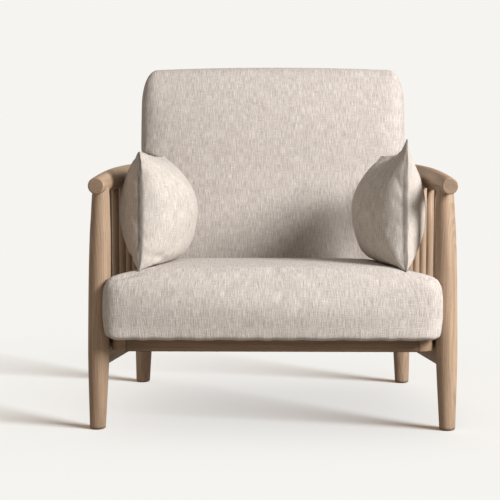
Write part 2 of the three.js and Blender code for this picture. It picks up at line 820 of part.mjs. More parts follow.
backBolts(0).forEach((bolt, i) => seat.add(piece(`back_bolt_${i + 1}`, bolt, 'steel')));
back.add(
  piece('back_post_left', post(-1), 'pine'),
  piece('back_post_right', post(1), 'pine'),
  piece('back_lower_rail', backRail(backFrameTop * backRailShares[0]), 'pine'),
  piece('back_middle_rail', backRail(backFrameTop * backRailShares[1]), 'pine'),
  piece('back_top_rail', backRail(backFrameTop - backRailHeight), 'pine'),
  piece('back_webbing', backWebbing(), 'web'),
  piece('back_pad', backPad(), 'linen'),
  piece('back_outer_panel', outerPanel(), 'linen'),
);

// Loose cushions. Length on Y, height on Z, and the inner face looks along -X.

function looseCushion() {
  const [along, upwards] = cushionSteps;
  const share = (i, steps) => Math.sin(Math.PI * (i / steps - 0.5));
  const sides = [[-cushionInner, cushionInnerFullness], [cushionOuter, cushionOuterFullness]];
  const faces = sides.map(([thickness, [above, below]]) => {
    const rows = [];
    for (let j = 0; j <= upwards; j += 1) {
      const v = share(j, upwards);
      for (let i = 0; i <= along; i += 1) {
        const u = share(i, along);
        const full = Math.pow(1 - u ** 2, cushionEndFullness) * Math.pow(1 - v ** 2, v > 0 ? above : below);
        const x = Math.sign(thickness) * cushionSeam + (thickness - Math.sign(thickness) * cushionSeam) * full;
        const y = u * (cushionLength / 2 - cushionUprightDraw * (1 - v ** 2));
        const z = v * (cushionHeight / 2 - cushionLongDraw * (1 - u ** 2));
        rows.push(new THREE.Vector3(x, y, z));
      }
    }
    return rows;
  });
  const width = along + 1;
  const corners = [];
  const quad = (a, b, c, d) => corners.push(a, b, c, a, c, d);
  const far = width * (upwards + 1);
  for (let j = 0; j < upwards; j += 1) {
    for (let i = 0; i < along; i += 1) {
      const a = j * width + i;
      quad(a, a + width, a + width + 1, a + 1);
      quad(far + a, far + a + 1, far + a + width + 1, far + a + width);
    }
    const [start, end] = [j * width, j * width + along];
    quad(start, far + start, far + start + width, start + width);
    quad(end, end + width, far + end + width, far + end);
  }
  for (let i = 0; i < along; i += 1) {
    const [low, high] = [i, upwards * width + i];
    quad(low, low + 1, far + low + 1, far + low);
    quad(high, far + high, far + high + 1, high + 1);
  }
  const geometry = new THREE.BufferGeometry().setFromPoints(faces.flat());
  geometry.setIndex(corners);
  return geometry;
}

// Lets a piece down until it all but touches what is under it.
function letDown(mesh, under) {
  mesh.updateWorldMatrix(true, false);
  const down = new THREE.Vector3(0, 0, -1);
  const corners = mesh.geometry.attributes.position;
  let drop = Infinity;
  for (let i = 0; i < corners.count; i += 1) {
    const from = new THREE.Vector3().fromBufferAttribute(corners, i).applyMatrix4(mesh.matrixWorld);
    const hit = new THREE.Raycaster(from, down).intersectObject(under)[0];
    drop = Math.min(drop, hit ? hit.distance : Infinity);
  }
  mesh.position.z -= drop - fit;
}

pad.updateWorldMatrix(true, false);
pad.geometry.computeBoundingBox();
for (const label of ['left', 'right']) {
  const side = sideOf(label);
  const shape = looseCushion();
  if (side < 0) {
    shape.scale(-1, 1, 1).index.array.reverse();
  }
  const cushion = piece(`scatter_cushion_${label}`, shape, 'linenCushion');
  const middle = cushionLength / 2;
  const height = seatFrameBottom + 2 * seatPadHeight + cushionHeight / 2;
  cushion.rotation.set(-seatRake, 0, side * cushionTurn, 'ZXY');
  cushion.position.set(
    side * (cushionHalfSpacing - middle * Math.sin(cushionTurn)),
    middle * Math.cos(cushionTurn) - cushionFront,
    height,
  );
  armchair.add(cushion);
  letDown(cushion, pad);
}

// The chair stands on its glides, with the middle of its box over the origin.
const reach = new THREE.Box3().setFromObject(armchair, true);
armchair.position.set(-(reach.min.x + reach.max.x) / 2, -(reach.min.y + reach.max.y) / 2, -reach.min.z);

export default armchair;
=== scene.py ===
import json
import math
import bpy
import bmesh
import numpy as np
from mathutils import Matrix, Vector

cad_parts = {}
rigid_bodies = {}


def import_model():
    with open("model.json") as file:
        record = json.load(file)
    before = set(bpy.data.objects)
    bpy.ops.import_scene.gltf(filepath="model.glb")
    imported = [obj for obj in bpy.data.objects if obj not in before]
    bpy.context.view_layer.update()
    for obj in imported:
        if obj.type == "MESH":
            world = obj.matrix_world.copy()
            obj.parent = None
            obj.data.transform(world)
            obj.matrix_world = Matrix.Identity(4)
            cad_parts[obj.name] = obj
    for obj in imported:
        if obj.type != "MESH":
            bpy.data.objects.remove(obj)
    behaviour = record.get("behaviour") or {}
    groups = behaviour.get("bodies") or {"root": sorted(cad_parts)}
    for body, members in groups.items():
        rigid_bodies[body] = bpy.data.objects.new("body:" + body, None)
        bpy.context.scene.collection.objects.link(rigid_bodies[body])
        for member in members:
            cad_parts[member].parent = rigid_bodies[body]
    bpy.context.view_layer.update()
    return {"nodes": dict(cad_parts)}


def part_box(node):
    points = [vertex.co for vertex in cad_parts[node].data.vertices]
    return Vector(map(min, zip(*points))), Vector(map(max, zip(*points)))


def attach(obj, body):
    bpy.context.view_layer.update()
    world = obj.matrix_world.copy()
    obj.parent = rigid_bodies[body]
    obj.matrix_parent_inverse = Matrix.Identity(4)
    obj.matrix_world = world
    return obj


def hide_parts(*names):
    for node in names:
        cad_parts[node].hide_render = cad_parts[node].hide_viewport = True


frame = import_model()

scene = bpy.context.scene
print("frame loaded")

# Sizes in metres and angles in degrees, the same as in the part's source
chairShape = {
    "sideHalfWidth": 0.376,      # mid-plane to the front leg's axis, at arm level
    "sideToe": 5.4,
    "legSpacing": 0.542,
    "legKick": 0.012,
    "armUnderside": 0.523,
    "seatRake": 3.2,
    "seatFrameBottom": 0.1755,
    "backLean": 12.5,
    "backFootFront": 0.437,
    "backFootHeight": 0.203,
}
sides = {"left": -1, "right": 1}


# Axes of the chair's groups

def rotation(axis, degrees):
    return Matrix.Rotation(math.radians(degrees), 4, axis)


def shift(x, y, z):
    return Matrix.Translation((x, y, z))


def boxMiddle(node):
    low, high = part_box(node)
    return (low + high) / 2


def chairAxes(s):
    toe = math.radians(s["sideToe"])
    y = boxMiddle("front_glide_left").y - s["legKick"] * math.sin(toe)
    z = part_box("arm_left")[0].z - s["armUnderside"]
    return shift(0, y, z)


chairOrigin = chairAxes(chairShape)
sideAxes = {
    label: chairOrigin @ shift(side * chairShape["sideHalfWidth"], 0, 0) @ rotation("Z", side * chairShape["sideToe"])
    for label, side in sides.items()
}
seatAxes = chairOrigin @ shift(0, 0, chairShape["seatFrameBottom"]) @ rotation("X", -chairShape["seatRake"])
backAxes = chairOrigin @ shift(
    0, chairShape["backFootFront"], chairShape["backFootHeight"]
) @ rotation("X", -chairShape["backLean"])


# Meshes

def inAxes(points, axes):
    m = np.array(axes)
    return np.asarray(points, float) @ m[:3, :3].T + m[:3, 3]


def meshPiece(name, points, faces, axes=None):
    if axes is not None:
        points = inAxes(points, axes)
    mesh = bpy.data.meshes.new(name)
    mesh.from_pydata(np.asarray(points).tolist(), [], [tuple(map(int, f)) for f in faces])
    mesh.shade_smooth()
    piece = bpy.data.objects.new(name, mesh)
    scene.collection.objects.link(piece)
    return piece


def faceOutwards(mesh):
    form = bmesh.new()
    form.from_mesh(mesh)
    bmesh.ops.recalc_face_normals(form, faces=form.faces)
    form.to_mesh(mesh)
    form.free()


def pointsOf(mesh):
    flat = np.empty(len(mesh.vertices) * 3, np.float32)
    mesh.vertices.foreach_get("co", flat)
    return flat.reshape(-1, 3).astype(float)


def setPoints(mesh, points):
    mesh.vertices.foreach_set("co", np.asarray(points, np.float32).ravel())
    mesh.update()


def addVectors(mesh, name, values):
    attribute = mesh.attributes.new(name, "FLOAT_VECTOR", "POINT")
    attribute.data.foreach_set("vector", np.asarray(values, np.float32).ravel())


def addValues(mesh, name, values):
    attribute = mesh.attributes.new(name, "FLOAT", "POINT")
    attribute.data.foreach_set("value", np.asarray(values, np.float32).ravel())


def evaluatedPoints(piece):
    evaluated = piece.evaluated_get(bpy.context.evaluated_depsgraph_get())
    return pointsOf(evaluated.to_mesh())


# A number from 0 to 1 that is a piece's own, so that no two pieces show the same grain.
def ownShare(name, salt=0):
    return (sum((i + 3 + salt) * ord(letter) for i, letter in enumerate(name)) * 37 % 101) / 101


def finishPiece(piece, material, nodes, body="chair"):
    piece.data.materials.clear()
    piece.data.materials.append(material)
    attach(piece, body)
    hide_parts(*nodes)


# Closed skin over rings of equally many points
def skin(rings):
    count = len(rings[0])
    faces = []
    for ring in range(len(rings) - 1):
        base = ring * count
        for i in range(count):
            j = (i + 1) % count
            faces.append((base + i, base + j, base + count + j, base + count + i))
    last = (len(rings) - 1) * count
    faces.append(tuple(reversed(range(count))))
    faces.append(tuple(range(last, last + count)))
    return np.concatenate(rings), faces


# A bar of eased section: stations are (place, out, up, inset), the last three for the section's axes and its
# shrinkage
def easedBar(stations, width, height, ease, cornerSteps=5):
    rings = []
    for place, out, up, inset in stations:
        w, h = width / 2 - ease, height / 2 - ease
        r = max(ease - inset, 0.0002)
        w, h = w + ease - inset - r, h + ease - inset - r
        ring = []
        for quarter, (x, z) in enumerate([(w, h), (-w, h), (-w, -h), (w, -h)]):
            for i in range(cornerSteps + 1):
                angle = math.pi / 2 * (quarter + i / cornerSteps)
                ring.append(place + out * (x + r * math.cos(angle)) + up * (z + r * math.sin(angle)))
        rings.append(np.array(ring))
    return skin(rings)


def straightStations(length, endEase, steps=8):
    out, up = np.array([1, 0, 0]), np.array([0, 0, 1])
    ends = [(0, endEase), (endEase * 0.3, endEase * 0.3), (endEase, 0)]
    alongs = ends + [(endEase + (length - 2 * endEase) * i / steps, 0) for i in range(1, steps)]
    alongs += [(length - a, inset) for a, inset in reversed(ends)]
    return [(np.array([0, a, 0.0]), out, up, inset) for a, inset in alongs]


def flatEnds(mesh):
    for face in mesh.polygons:
        if len(face.vertices) > 4:
            face.use_smooth = False


# Keeps the timber's own axes with the piece: the last one runs with the grain, the first two start off the pith.
def woodPiece(name, points, faces, axes, grainOrder, pith=(0.02, 0.05)):
    piece = meshPiece(name, points, faces, axes)
    local = np.asarray(points, float)[:, grainOrder]
    away = pith[0] + (pith[1] - pith[0]) * ownShare(name)
    angle = 2 * math.pi * ownShare(name, 5)
    along = local[:, 2]
    addValues(piece.data, "endGrain", (along < along.min() + 0.001) | (along > along.max() - 0.001))
    local = local + [away * math.cos(angle), away * math.sin(angle), 3 * ownShare(name, 9)]
    addVectors(piece.data, "grain", local)
    faceOutwards(piece.data)
    flatEnds(piece.data)
    return piece


# Shader trees

def addNode(tree, kind, inputs=None, **settings):
    node = tree.nodes.new(kind)
    for key, value in settings.items():
        setattr(node, key, value)
    for key, value in (inputs or {}).items():
        connect(tree, value, node.inputs[key])
    return node


def connect(tree, value, socket):
    if isinstance(value, bpy.types.NodeSocket):
        tree.links.new(value, socket)
    else:
        socket.default_value = value


def made(tree, kind, inputs=None, **settings):
    return addNode(tree, kind, inputs, **settings).outputs[0]


def maths(tree, operation, a, b=0.0, c=0.0, clamp=False):
    return made(tree, "ShaderNodeMath", {0: a, 1: b, 2: c}, operation=operation, use_clamp=clamp)


def stretch(tree, vector, x, y, z):
    return made(tree, "ShaderNodeVectorMath", {0: vector, 1: (x, y, z)}, operation="MULTIPLY")


def noise(tree, vector, detail=2.0, roughness=0.5, scale=1.0):
    return addNode(
        tree, "ShaderNodeTexNoise", {"Vector": vector, "Scale": scale, "Detail": detail, "Roughness": roughness}
    ).outputs["Fac"]


def ramp(tree, value, low, high, start=0.0, end=1.0):
    inputs = {"Value": value, "From Min": low, "From Max": high, "To Min": start, "To Max": end}
    return made(tree, "ShaderNodeMapRange", inputs, interpolation_type="SMOOTHSTEP")


# Adds a field that runs from 0 to 1, taken round its middle, with a weight.
def addSwing(tree, total, field, weight, clamp=False):
    centred = maths(tree, "SUBTRACT", field, 0.5)
    return maths(tree, "ADD", total, maths(tree, "MULTIPLY", centred, weight), clamp=clamp)


def mixColours(tree, share, a, b):
    node = addNode(tree, "ShaderNodeMix", data_type="RGBA", clamp_factor=True)
    for socket, value in zip((node.inputs[0], node.inputs[6], node.inputs[7]), (share, a, b)):
        connect(tree, value, socket)
    return node.outputs[2]


def mixFloat(tree, share, a, b):
    node = addNode(tree, "ShaderNodeMix", data_type="FLOAT")
    for socket, value in zip((node.inputs[0], node.inputs[2], node.inputs[3]), (share, a, b)):
        connect(tree, value, socket)
    return node.outputs[0]


# Every surface group gives out a colour, a roughness and a height.
def newGroup(name, inputs):
    group = bpy.data.node_groups.new(name, "ShaderNodeTree")
    for label, kind, value in inputs:
        socket = group.interface.new_socket(label, in_out="INPUT", socket_type=kind)
        if value is not None:
            socket.default_value = value
    for label, kind in (
        ("Color", "NodeSocketColor"), ("Roughness", "NodeSocketFloat"), ("Height", "NodeSocketFloat")
    ):
        group.interface.new_socket(label, in_out="OUTPUT", socket_type=kind)
    start = group.nodes.new("NodeGroupInput")
    end = group.nodes.new("NodeGroupOutput")
    return group, start.outputs, end.inputs


# Timber: growth rings round the pith, fibres and pores that run with the grain, and slow changes of tone.
def makeTimberGroup():
    group, given, out = newGroup(
        "timber grain",
        [
            ("Vector", "NodeSocketVector", None),
            ("Light", "NodeSocketColor", (0.5, 0.35, 0.22, 1)),
            ("Dark", "NodeSocketColor", (0.2, 0.12, 0.07, 1)),
            ("Ring Width", "NodeSocketFloat", 0.0032),
            ("Figure", "NodeSocketFloat", 0.35),
            ("Fibre", "NodeSocketFloat", 0.5),
            ("Pores", "NodeSocketFloat", 0.5),
            ("Tone", "NodeSocketFloat", 0.4),
            ("End Grain", "NodeSocketFloat", 0.0),
        ],
    )
    vector = given["Vector"]
    bend = addNode(
        group, "ShaderNodeTexNoise", {"Vector": stretch(group, vector, 22, 22, 3.5), "Scale": 1.0, "Detail": 2.0}
    ).outputs["Color"]
    wander = made(group, "ShaderNodeVectorMath", {0: bend, 1: (0.5, 0.5, 0.5)}, operation="SUBTRACT")
    wander = stretch(group, wander, 0.012, 0.012, 0)
    bent = made(group, "ShaderNodeVectorMath", {0: vector, 1: wander}, operation="ADD")
    flat = stretch(group, bent, 1, 1, 0)
    radius = addNode(group, "ShaderNodeVectorMath", {0: flat}, operation="LENGTH").outputs["Value"]
    turns = maths(group, "DIVIDE", radius, given["Ring Width"])
    phase = maths(group, "FRACT", turns)
    late = ramp(group, phase, 0.0, 0.75)
    early = ramp(group, phase, 0.86, 1.0)
    ring = maths(group, "SUBTRACT", late, early)
    fibre = noise(group, stretch(group, bent, 420, 420, 9), detail=3.0, roughness=0.6)
    streak = noise(group, stretch(group, bent, 150, 150, 4.5), detail=2.0)
    slow = noise(group, stretch(group, vector, 26, 26, 4), detail=2.0)
    poreField = noise(group, stretch(group, bent, 1500, 1500, 60), detail=1.0)
    poreLine = ramp(group, poreField, 0.60, 0.70)
    poreShare = maths(group, "MULTIPLY", poreLine, maths(group, "SUBTRACT", 1.15, ring), clamp=True)
    pores = maths(group, "MULTIPLY", poreShare, given["Pores"])
    figure = maths(group, "MULTIPLY_ADD", given["End Grain"], 0.45, given["Figure"])
    blend = maths(group, "MULTIPLY_ADD", maths(group, "SUBTRACT", ring, 0.5), figure, 0.5)
    blend = addSwing(group, blend, fibre, given["Fibre"])
    blend = addSwing(group, blend, streak, given["Fibre"])
    blend = addSwing(group, blend, slow, given["Tone"], clamp=True)
    colour = mixColours(group, blend, given["Dark"], given["Light"])
    shade = maths(group, "SUBTRACT", 1.0, maths(group, "MULTIPLY", pores, 0.62))
    shade = maths(group, "MULTIPLY", shade, maths(group, "MULTIPLY_ADD", given["End Grain"], -0.3, 1.0))
    dark = made(group, "ShaderNodeVectorMath", {0: colour, "Scale": shade}, operation="SCALE")
    connect(group, dark, out["Color"])
    rough = maths(group, "MULTIPLY_ADD", fibre, 0.16, 0.44)
    connect(group, maths(group, "ADD", rough, maths(group, "MULTIPLY", pores, 0.2), clamp=True), out["Roughness"])
    height = maths(group, "MULTIPLY_ADD", fibre, 0.4, maths(group, "MULTIPLY", streak, 0.25))
    connect(group, maths(group, "SUBTRACT", height, maths(group, "MULTIPLY", pores, 0.8)), out["Height"])
    return group


# Linen: a plain weave of uneven yarns. The vector holds the place on the cloth in metres, along the weft and the
# warp.
def makeLinenGroup():
    group, given, out = newGroup(
        "linen weave",
        [
            ("Vector", "NodeSocketVector", None),
            ("Pale", "NodeSocketColor", (0.7, 0.65, 0.58, 1)),
            ("Deep", "NodeSocketColor", (0.4, 0.35, 0.3, 1)),
            ("Seam", "NodeSocketFloat", 0.0),
            ("Pitch", "NodeSocketFloat", 0.0017),
            ("Warp Slubs", "NodeSocketFloat", 0.8),
            ("Weft Slubs", "NodeSocketFloat", 0.5),
            ("Relief", "NodeSocketFloat", 0.5),
        ],
    )
    vector = given["Vector"]
    sway = addNode(group, "ShaderNodeTexNoise", {"Vector": vector, "Scale": 38.0, "Detail": 1.0}).outputs["Color"]
    sway = made(group, "ShaderNodeVectorMath", {0: sway, 1: (0.5, 0.5, 0.5)}, operation="SUBTRACT")
    swayed = made(
        group, "ShaderNodeVectorMath", {0: vector, 1: stretch(group, sway, 0.0035, 0.0035, 0)}, operation="ADD"
    )
    cells = made(group, "ShaderNodeVectorMath", {0: swayed, 1: given["Pitch"]}, operation="DIVIDE")
    split = addNode(group, "ShaderNodeSeparateXYZ", {0: cells})
    u, v = split.outputs[0], split.outputs[1]
    warpNumber, weftNumber = maths(group, "FLOOR", u), maths(group, "FLOOR", v)
    warpPlace, weftPlace = maths(group, "FRACT", u), maths(group, "FRACT", v)

    def yarn(number, along, seed, run):
        place = made(
            group, "ShaderNodeCombineXYZ",
            {0: maths(group, "MULTIPLY_ADD", number, 7.31, seed), 1: maths(group, "MULTIPLY", along, run), 2: seed}
        )
        return noise(group, place, detail=1.0)

    warpTone = yarn(warpNumber, v, 3.7, 0.055)
    weftTone = yarn(weftNumber, u, 9.1, 0.07)
    warpWidth = yarn(warpNumber, v, 21.3, 0.1)
    crown = lambda place: maths(group, "POWER", maths(group, "SINE", maths(group, "MULTIPLY", place, math.pi)), 0.6)
    parity = maths(group, "FLOORED_MODULO", maths(group, "ADD", warpNumber, weftNumber), 2.0)
    warpOver = maths(group, "MULTIPLY", crown(warpPlace), maths(group, "MULTIPLY_ADD", crown(weftPlace), 0.45, 0.55))
    weftOver = maths(group, "MULTIPLY", crown(weftPlace), maths(group, "MULTIPLY_ADD", crown(warpPlace), 0.45, 0.55))
    over = mixFloat(group, parity, warpOver, weftOver)
    tone = mixFloat(group, parity,
                    maths(group, "MULTIPLY", maths(group, "SUBTRACT", warpTone, 0.5), given["Warp Slubs"]),
                    maths(group, "MULTIPLY", maths(group, "SUBTRACT", weftTone, 0.5), given["Weft Slubs"]))
    # Long slubs lie over the weave and are wider than a yarn
    slub = noise(group, stretch(group, swayed, 640, 48, 1), detail=1.0, roughness=0.5)
    slubAcross = noise(group, stretch(group, swayed, 52, 700, 1), detail=1.0, roughness=0.5)
    cloud = noise(group, stretch(group, vector, 30, 22, 1), detail=3.0)
    blend = maths(group, "ADD", 0.5, maths(group, "MULTIPLY", tone, 1.5))
    blend = addSwing(group, blend, slub, maths(group, "MULTIPLY", given["Warp Slubs"], 1.7))
    blend = addSwing(group, blend, slubAcross, maths(group, "MULTIPLY", given["Weft Slubs"], 1.4))
    blend = addSwing(group, blend, cloud, 0.22)
    gaps = maths(group, "MULTIPLY", maths(group, "SUBTRACT", over, 0.72), 0.55)
    blend = maths(group, "ADD", blend, gaps, clamp=True)
    woven = mixColours(group, blend, given["Deep"], given["Pale"])
    # Painted shade in the seams: where the seam input is high, the weave is mixed most of the way towards a dark
    # brown.
    shaded = mixColours(group, 0.72, woven, (0.10, 0.075, 0.06, 1))
    connect(group, mixColours(group, given["Seam"], woven, shaded), out["Color"])
    connect(group, maths(group, "MULTIPLY_ADD", blend, -0.1, 0.95), out["Roughness"])
    height = maths(group, "MULTIPLY", over, given["Relief"])
    height = addSwing(group, height, slub, 1.2)
    height = addSwing(group, height, slubAcross, 0.8)
    height = maths(group, "MULTIPLY_ADD", warpWidth, 0.5, height)
    connect(group, height, out["Height"])
    return group


timberGroup = makeTimberGroup()
linenGroup = makeLinenGroup()


def newMaterial(name, constants):
    material = bpy.data.materials.new(name)
    material.use_nodes = True
    shader = material.node_tree.nodes["Principled BSDF"]
    for key, value in constants.items():
        shader.inputs[key].default_value = value
    return material, material.node_tree, shader


def placeGroup(tree, shader, group, vector, values, bumpDistance, bumpStrength=1.0):
    node = tree.nodes.new("ShaderNodeGroup")
    node.node_tree = group
    tree.links.new(vector, node.inputs["Vector"])
    for key, value in values.items():
        node.inputs[key].default_value = value
    tree.links.new(node.outputs["Color"], shader.inputs["Base Color"])
    tree.links.new(node.outputs["Roughness"], shader.inputs["Roughness"])
    bump = addNode(
        tree, "ShaderNodeBump", {"Height": node.outputs["Height"], "Distance": bumpDistance, "Strength": bumpStrength}
    )
    tree.links.new(bump.outputs[0], shader.inputs["Normal"])
    return node


# Timber on a made piece reads the piece's own grain axes; on a solid of the source it reads the object's, turned so
# that Z runs with the grain.
def timberMaterial(name, look, turned=None):
    material, tree, shader = newMaterial(name, {"Specular IOR Level": 0.35})
    if turned is None:
        vector = addNode(tree, "ShaderNodeAttribute", attribute_name="grain").outputs["Vector"]
    else:
        source = addNode(tree, "ShaderNodeTexCoord").outputs["Object"]
        vector = made(tree, "ShaderNodeMapping", {"Vector": source, "Rotation": turned, "Location": (0.05, 0.03, 0)})
    grain = placeGroup(tree, shader, timberGroup, vector, look, 0.0006, 0.5)
    if turned is None:
        atEnd = addNode(tree, "ShaderNodeAttribute", attribute_name="endGrain").outputs["Fac"]
        tree.links.new(atEnd, grain.inputs["End Grain"])
    return material


def linenMaterial(name, look):
    material, tree, shader = newMaterial(
        name, {"Specular IOR Level": 0.15, "Sheen Weight": 0.12, "Sheen Roughness": 0.6}
    )
    vector = made(tree, "ShaderNodeUVMap", uv_map="cloth")
    weave = placeGroup(tree, shader, linenGroup, vector, look, 0.0009, 0.7)
    # The seam attribute drives the painted seam shade.
    tree.links.new(addNode(tree, "ShaderNodeAttribute", attribute_name="seam").outputs["Fac"], weave.inputs["Seam"])
    return material


oakLook = {
    "Light": (0.52, 0.37, 0.255, 1), "Dark": (0.25, 0.165, 0.108, 1), "Ring Width": 0.0026, "Figure": 0.22,
    "Fibre": 0.75, "Pores": 0.45, "Tone": 0.8
}
# A darker copy of the oak, which is painted shade: the seat frame's rails, corner blocks and side members take it
# because they lie in the shadow under the seat pad.
oakPaintedShadeLook = dict(oakLook, Light=(0.40, 0.27, 0.18, 1), Dark=(0.18, 0.115, 0.072, 1))
pineLook = {
    "Light": (0.78, 0.60, 0.38, 1), "Dark": (0.52, 0.33, 0.16, 1), "Ring Width": 0.006, "Figure": 0.8, "Fibre": 0.3,
    "Pores": 0.05, "Tone": 0.3
}
linenLook = {
    "Pale": (0.755, 0.696, 0.652, 1), "Deep": (0.375, 0.327, 0.292, 1), "Pitch": 0.0017, "Warp Slubs": 0.8,
    "Weft Slubs": 0.4, "Relief": 0.6
}
cushionLook = dict(linenLook, Pale=(0.79, 0.73, 0.675, 1), Deep=(0.41, 0.36, 0.315, 1), Pitch=0.0015)
quarter = math.pi / 2
oak = timberMaterial("oak", oakLook)
oakPaintedShade = timberMaterial("oak painted shade", oakPaintedShadeLook)
oakPaintedShadeLengthwise = timberMaterial("oak painted shade lengthwise", oakPaintedShadeLook, (quarter, 0, 0))
oakPaintedShadeCrosswise = timberMaterial("oak painted shade crosswise", oakPaintedShadeLook, (0, quarter, 0))
pineUpright = timberMaterial("pine upright", pineLook, (0, 0, 0))
pineCrosswise = timberMaterial("pine crosswise", pineLook, (0, quarter, 0))
linen = linenMaterial("linen", linenLook)
cushionLinen = linenMaterial("cushion linen", cushionLook)
print("materials ready")


# Legs

legShape = {
    "diameter": 0.0485,
    # height as a share of the arm's underside, radius as a share of the leg's
    "profile": [(0.012, 0.735), (0.153, 0.856), (0.229, 0.918), (0.338, 0.979), (0.5, 1), (0.67, 1),
                (0.822, 0.948), (0.908, 0.866), (0.979, 0.804), (1.03, 0.735)],
    "rings": 46,
    "sides": 44,
    "footEase": 0.0025,
}


def smoothCurve(points, steps):
    points = np.array(points, float)
    last = len(points) - 1
    curve = []
    for i in range(steps + 1):
        at = last * i / steps
        k = min(int(at), last - 1)
        t = at - k
        before, a, b, after = points[max(k - 1, 0)], points[k], points[k + 1], points[min(k + 2, last)]
        m, n = (b - before) / 2, (after - a) / 2
        curve.append((2 * a - 2 * b + m + n) * t ** 3 + (3 * b - 3 * a - 2 * m - n) * t ** 2 + m * t + a)
    return np.array(curve)


def makeLegs(s):
    underside, radius = chairShape["armUnderside"], s["diameter"] / 2
    profile = smoothCurve(s["profile"], s["rings"])
    foot = profile[0][1] * radius
    rows = [(0.0, foot - s["footEase"]), (s["footEase"] * 0.3, foot - s["footEase"] * 0.25)]
    rows += [(height * underside, share * radius) for height, share in profile]
    angles = np.linspace(0, 2 * math.pi, s["sides"], endpoint=False)
    for label, side in sides.items():
        for end, along in (("front", 0.0), ("rear", chairShape["legSpacing"])):
            rings = []
            for z, r in rows:
                lean = side * chairShape["legKick"] * (1 - z / underside)
                rings.append(
                    np.stack([lean + r * np.cos(angles), along + r * np.sin(angles), np.full_like(angles, z)], 1)
                )
            points, faces = skin(rings)
            name = f"{end}_leg_{label}"
            piece = woodPiece(f"turned_{name}", points, faces, sideAxes[label], [0, 1, 2], pith=(0.006, 0.02))
            finishPiece(piece, oak, [name])


makeLegs(legShape)


# Arms

armShape = {
    "endDiameter": 0.0355,
    "height": 0.050,
    "frontReach": 0.050,
    "rearReach": 0.040,
    "taperPower": 2.5,
    "rim": 0.0028,
    "stations": 44,
    "sides": 48,
}


def makeArms(s):
    spacing, underside = chairShape["legSpacing"], chairShape["armUnderside"]
    front, rear = -s["frontReach"], spacing + s["rearReach"]
    middle, half = (front + rear) / 2, (rear - front) / 2
    angles = np.linspace(0, 2 * math.pi, s["sides"], endpoint=False)

    def ring(along, inset):
        away = min(1, abs(along - middle) / half)
        height = s["height"] - (s["height"] - s["endDiameter"]) * away ** s["taperPower"]
        across = (s["endDiameter"] / 2 - inset) * np.cos(angles)
        up = (height / 2 - inset) * np.sin(angles)
        return np.stack([across, np.full_like(angles, along), underside + height / 2 + up], 1)

    rim = [(s["rim"] * (1 - math.sin(a)), s["rim"] * (1 - math.cos(a))) for a in np.linspace(0, quarter, 6)]
    stations = sorted((front + along, inset) for along, inset in rim)
    steps = s["stations"]
    for i in range(1, steps):
        eased = (1 - math.cos(math.pi * i / steps)) / 2
        stations.append((front + s["rim"] + (rear - front - 2 * s["rim"]) * eased, 0.0))
    stations += sorted((rear - along, inset) for along, inset in rim)
    for label in sides:
        points, faces = skin([ring(along, inset) for along, inset in stations])
        points = points - [0, 0, underside]
        axes = sideAxes[label] @ shift(0, 0, underside)
        piece = woodPiece(f"carved_arm_{label}", points, faces, axes, [0, 2, 1], pith=(0.004, 0.012))
        finishPiece(piece, oak, [f"arm_{label}"])


makeArms(armShape)


# Side rails

railShape = {
    "height": 0.062,
    "thickness": 0.028,
    "bottomHeight": 0.144,
    "ease": 0.004,
}


def makeSideRails(s):
    rake = chairShape["seatRake"]
    length = chairShape["legSpacing"] / math.cos(math.radians(rake))
    for label in sides:
        axes = sideAxes[label] @ shift(0, 0, s["bottomHeight"] + s["height"] / 2) @ rotation("X", -rake)
        points, faces = easedBar(straightStations(length, 0.001), s["thickness"], s["height"], s["ease"])
        piece = woodPiece(f"long_rail_{label}", points, faces, axes, [0, 2, 1], pith=(0.03, 0.06))
        finishPiece(piece, oak, [f"side_rail_{label}"])


makeSideRails(railShape)


# Spindles

spindleShape = {
    "count": 6,
    "diameter": 0.016,
    "armDepth": 0.004,
    "railDepth": 0.004,
    "sides": 26,
}


def newGeometryTree(name, inputs):
    tree = bpy.data.node_groups.new(name, "GeometryNodeTree")
    for label, kind, value in inputs:
        socket = tree.interface.new_socket(label, in_out="INPUT", socket_type=kind)
        if value is not None:
            socket.default_value = value
    tree.interface.new_socket("Geometry", in_out="OUTPUT", socket_type="NodeSocketGeometry")
    return tree, tree.nodes.new("NodeGroupInput").outputs, tree.nodes.new("NodeGroupOutput").inputs


# The last steps of every tree: real instances, smooth faces, the material, and out.
def finishTree(tree, instances, material, out, keep=None):
    real = made(tree, "GeometryNodeRealizeInstances", {"Geometry": instances})
    kept = keep(real) if keep else real
    smooth = made(tree, "GeometryNodeSetShadeSmooth", {"Geometry": kept})
    done = made(tree, "GeometryNodeSetMaterial", {"Geometry": smooth, "Material": material})
    connect(tree, done, out[0])


def storeNamed(tree, geometry, name, value, kind="FLOAT"):
    inputs = {"Geometry": geometry, "Name": name, "Value": value}
    return made(tree, "GeometryNodeStoreNamedAttribute", inputs, data_type=kind, domain="POINT")


def readNamed(tree, name, kind="FLOAT"):
    return made(tree, "GeometryNodeInputNamedAttribute", {"Name": name}, data_type=kind)


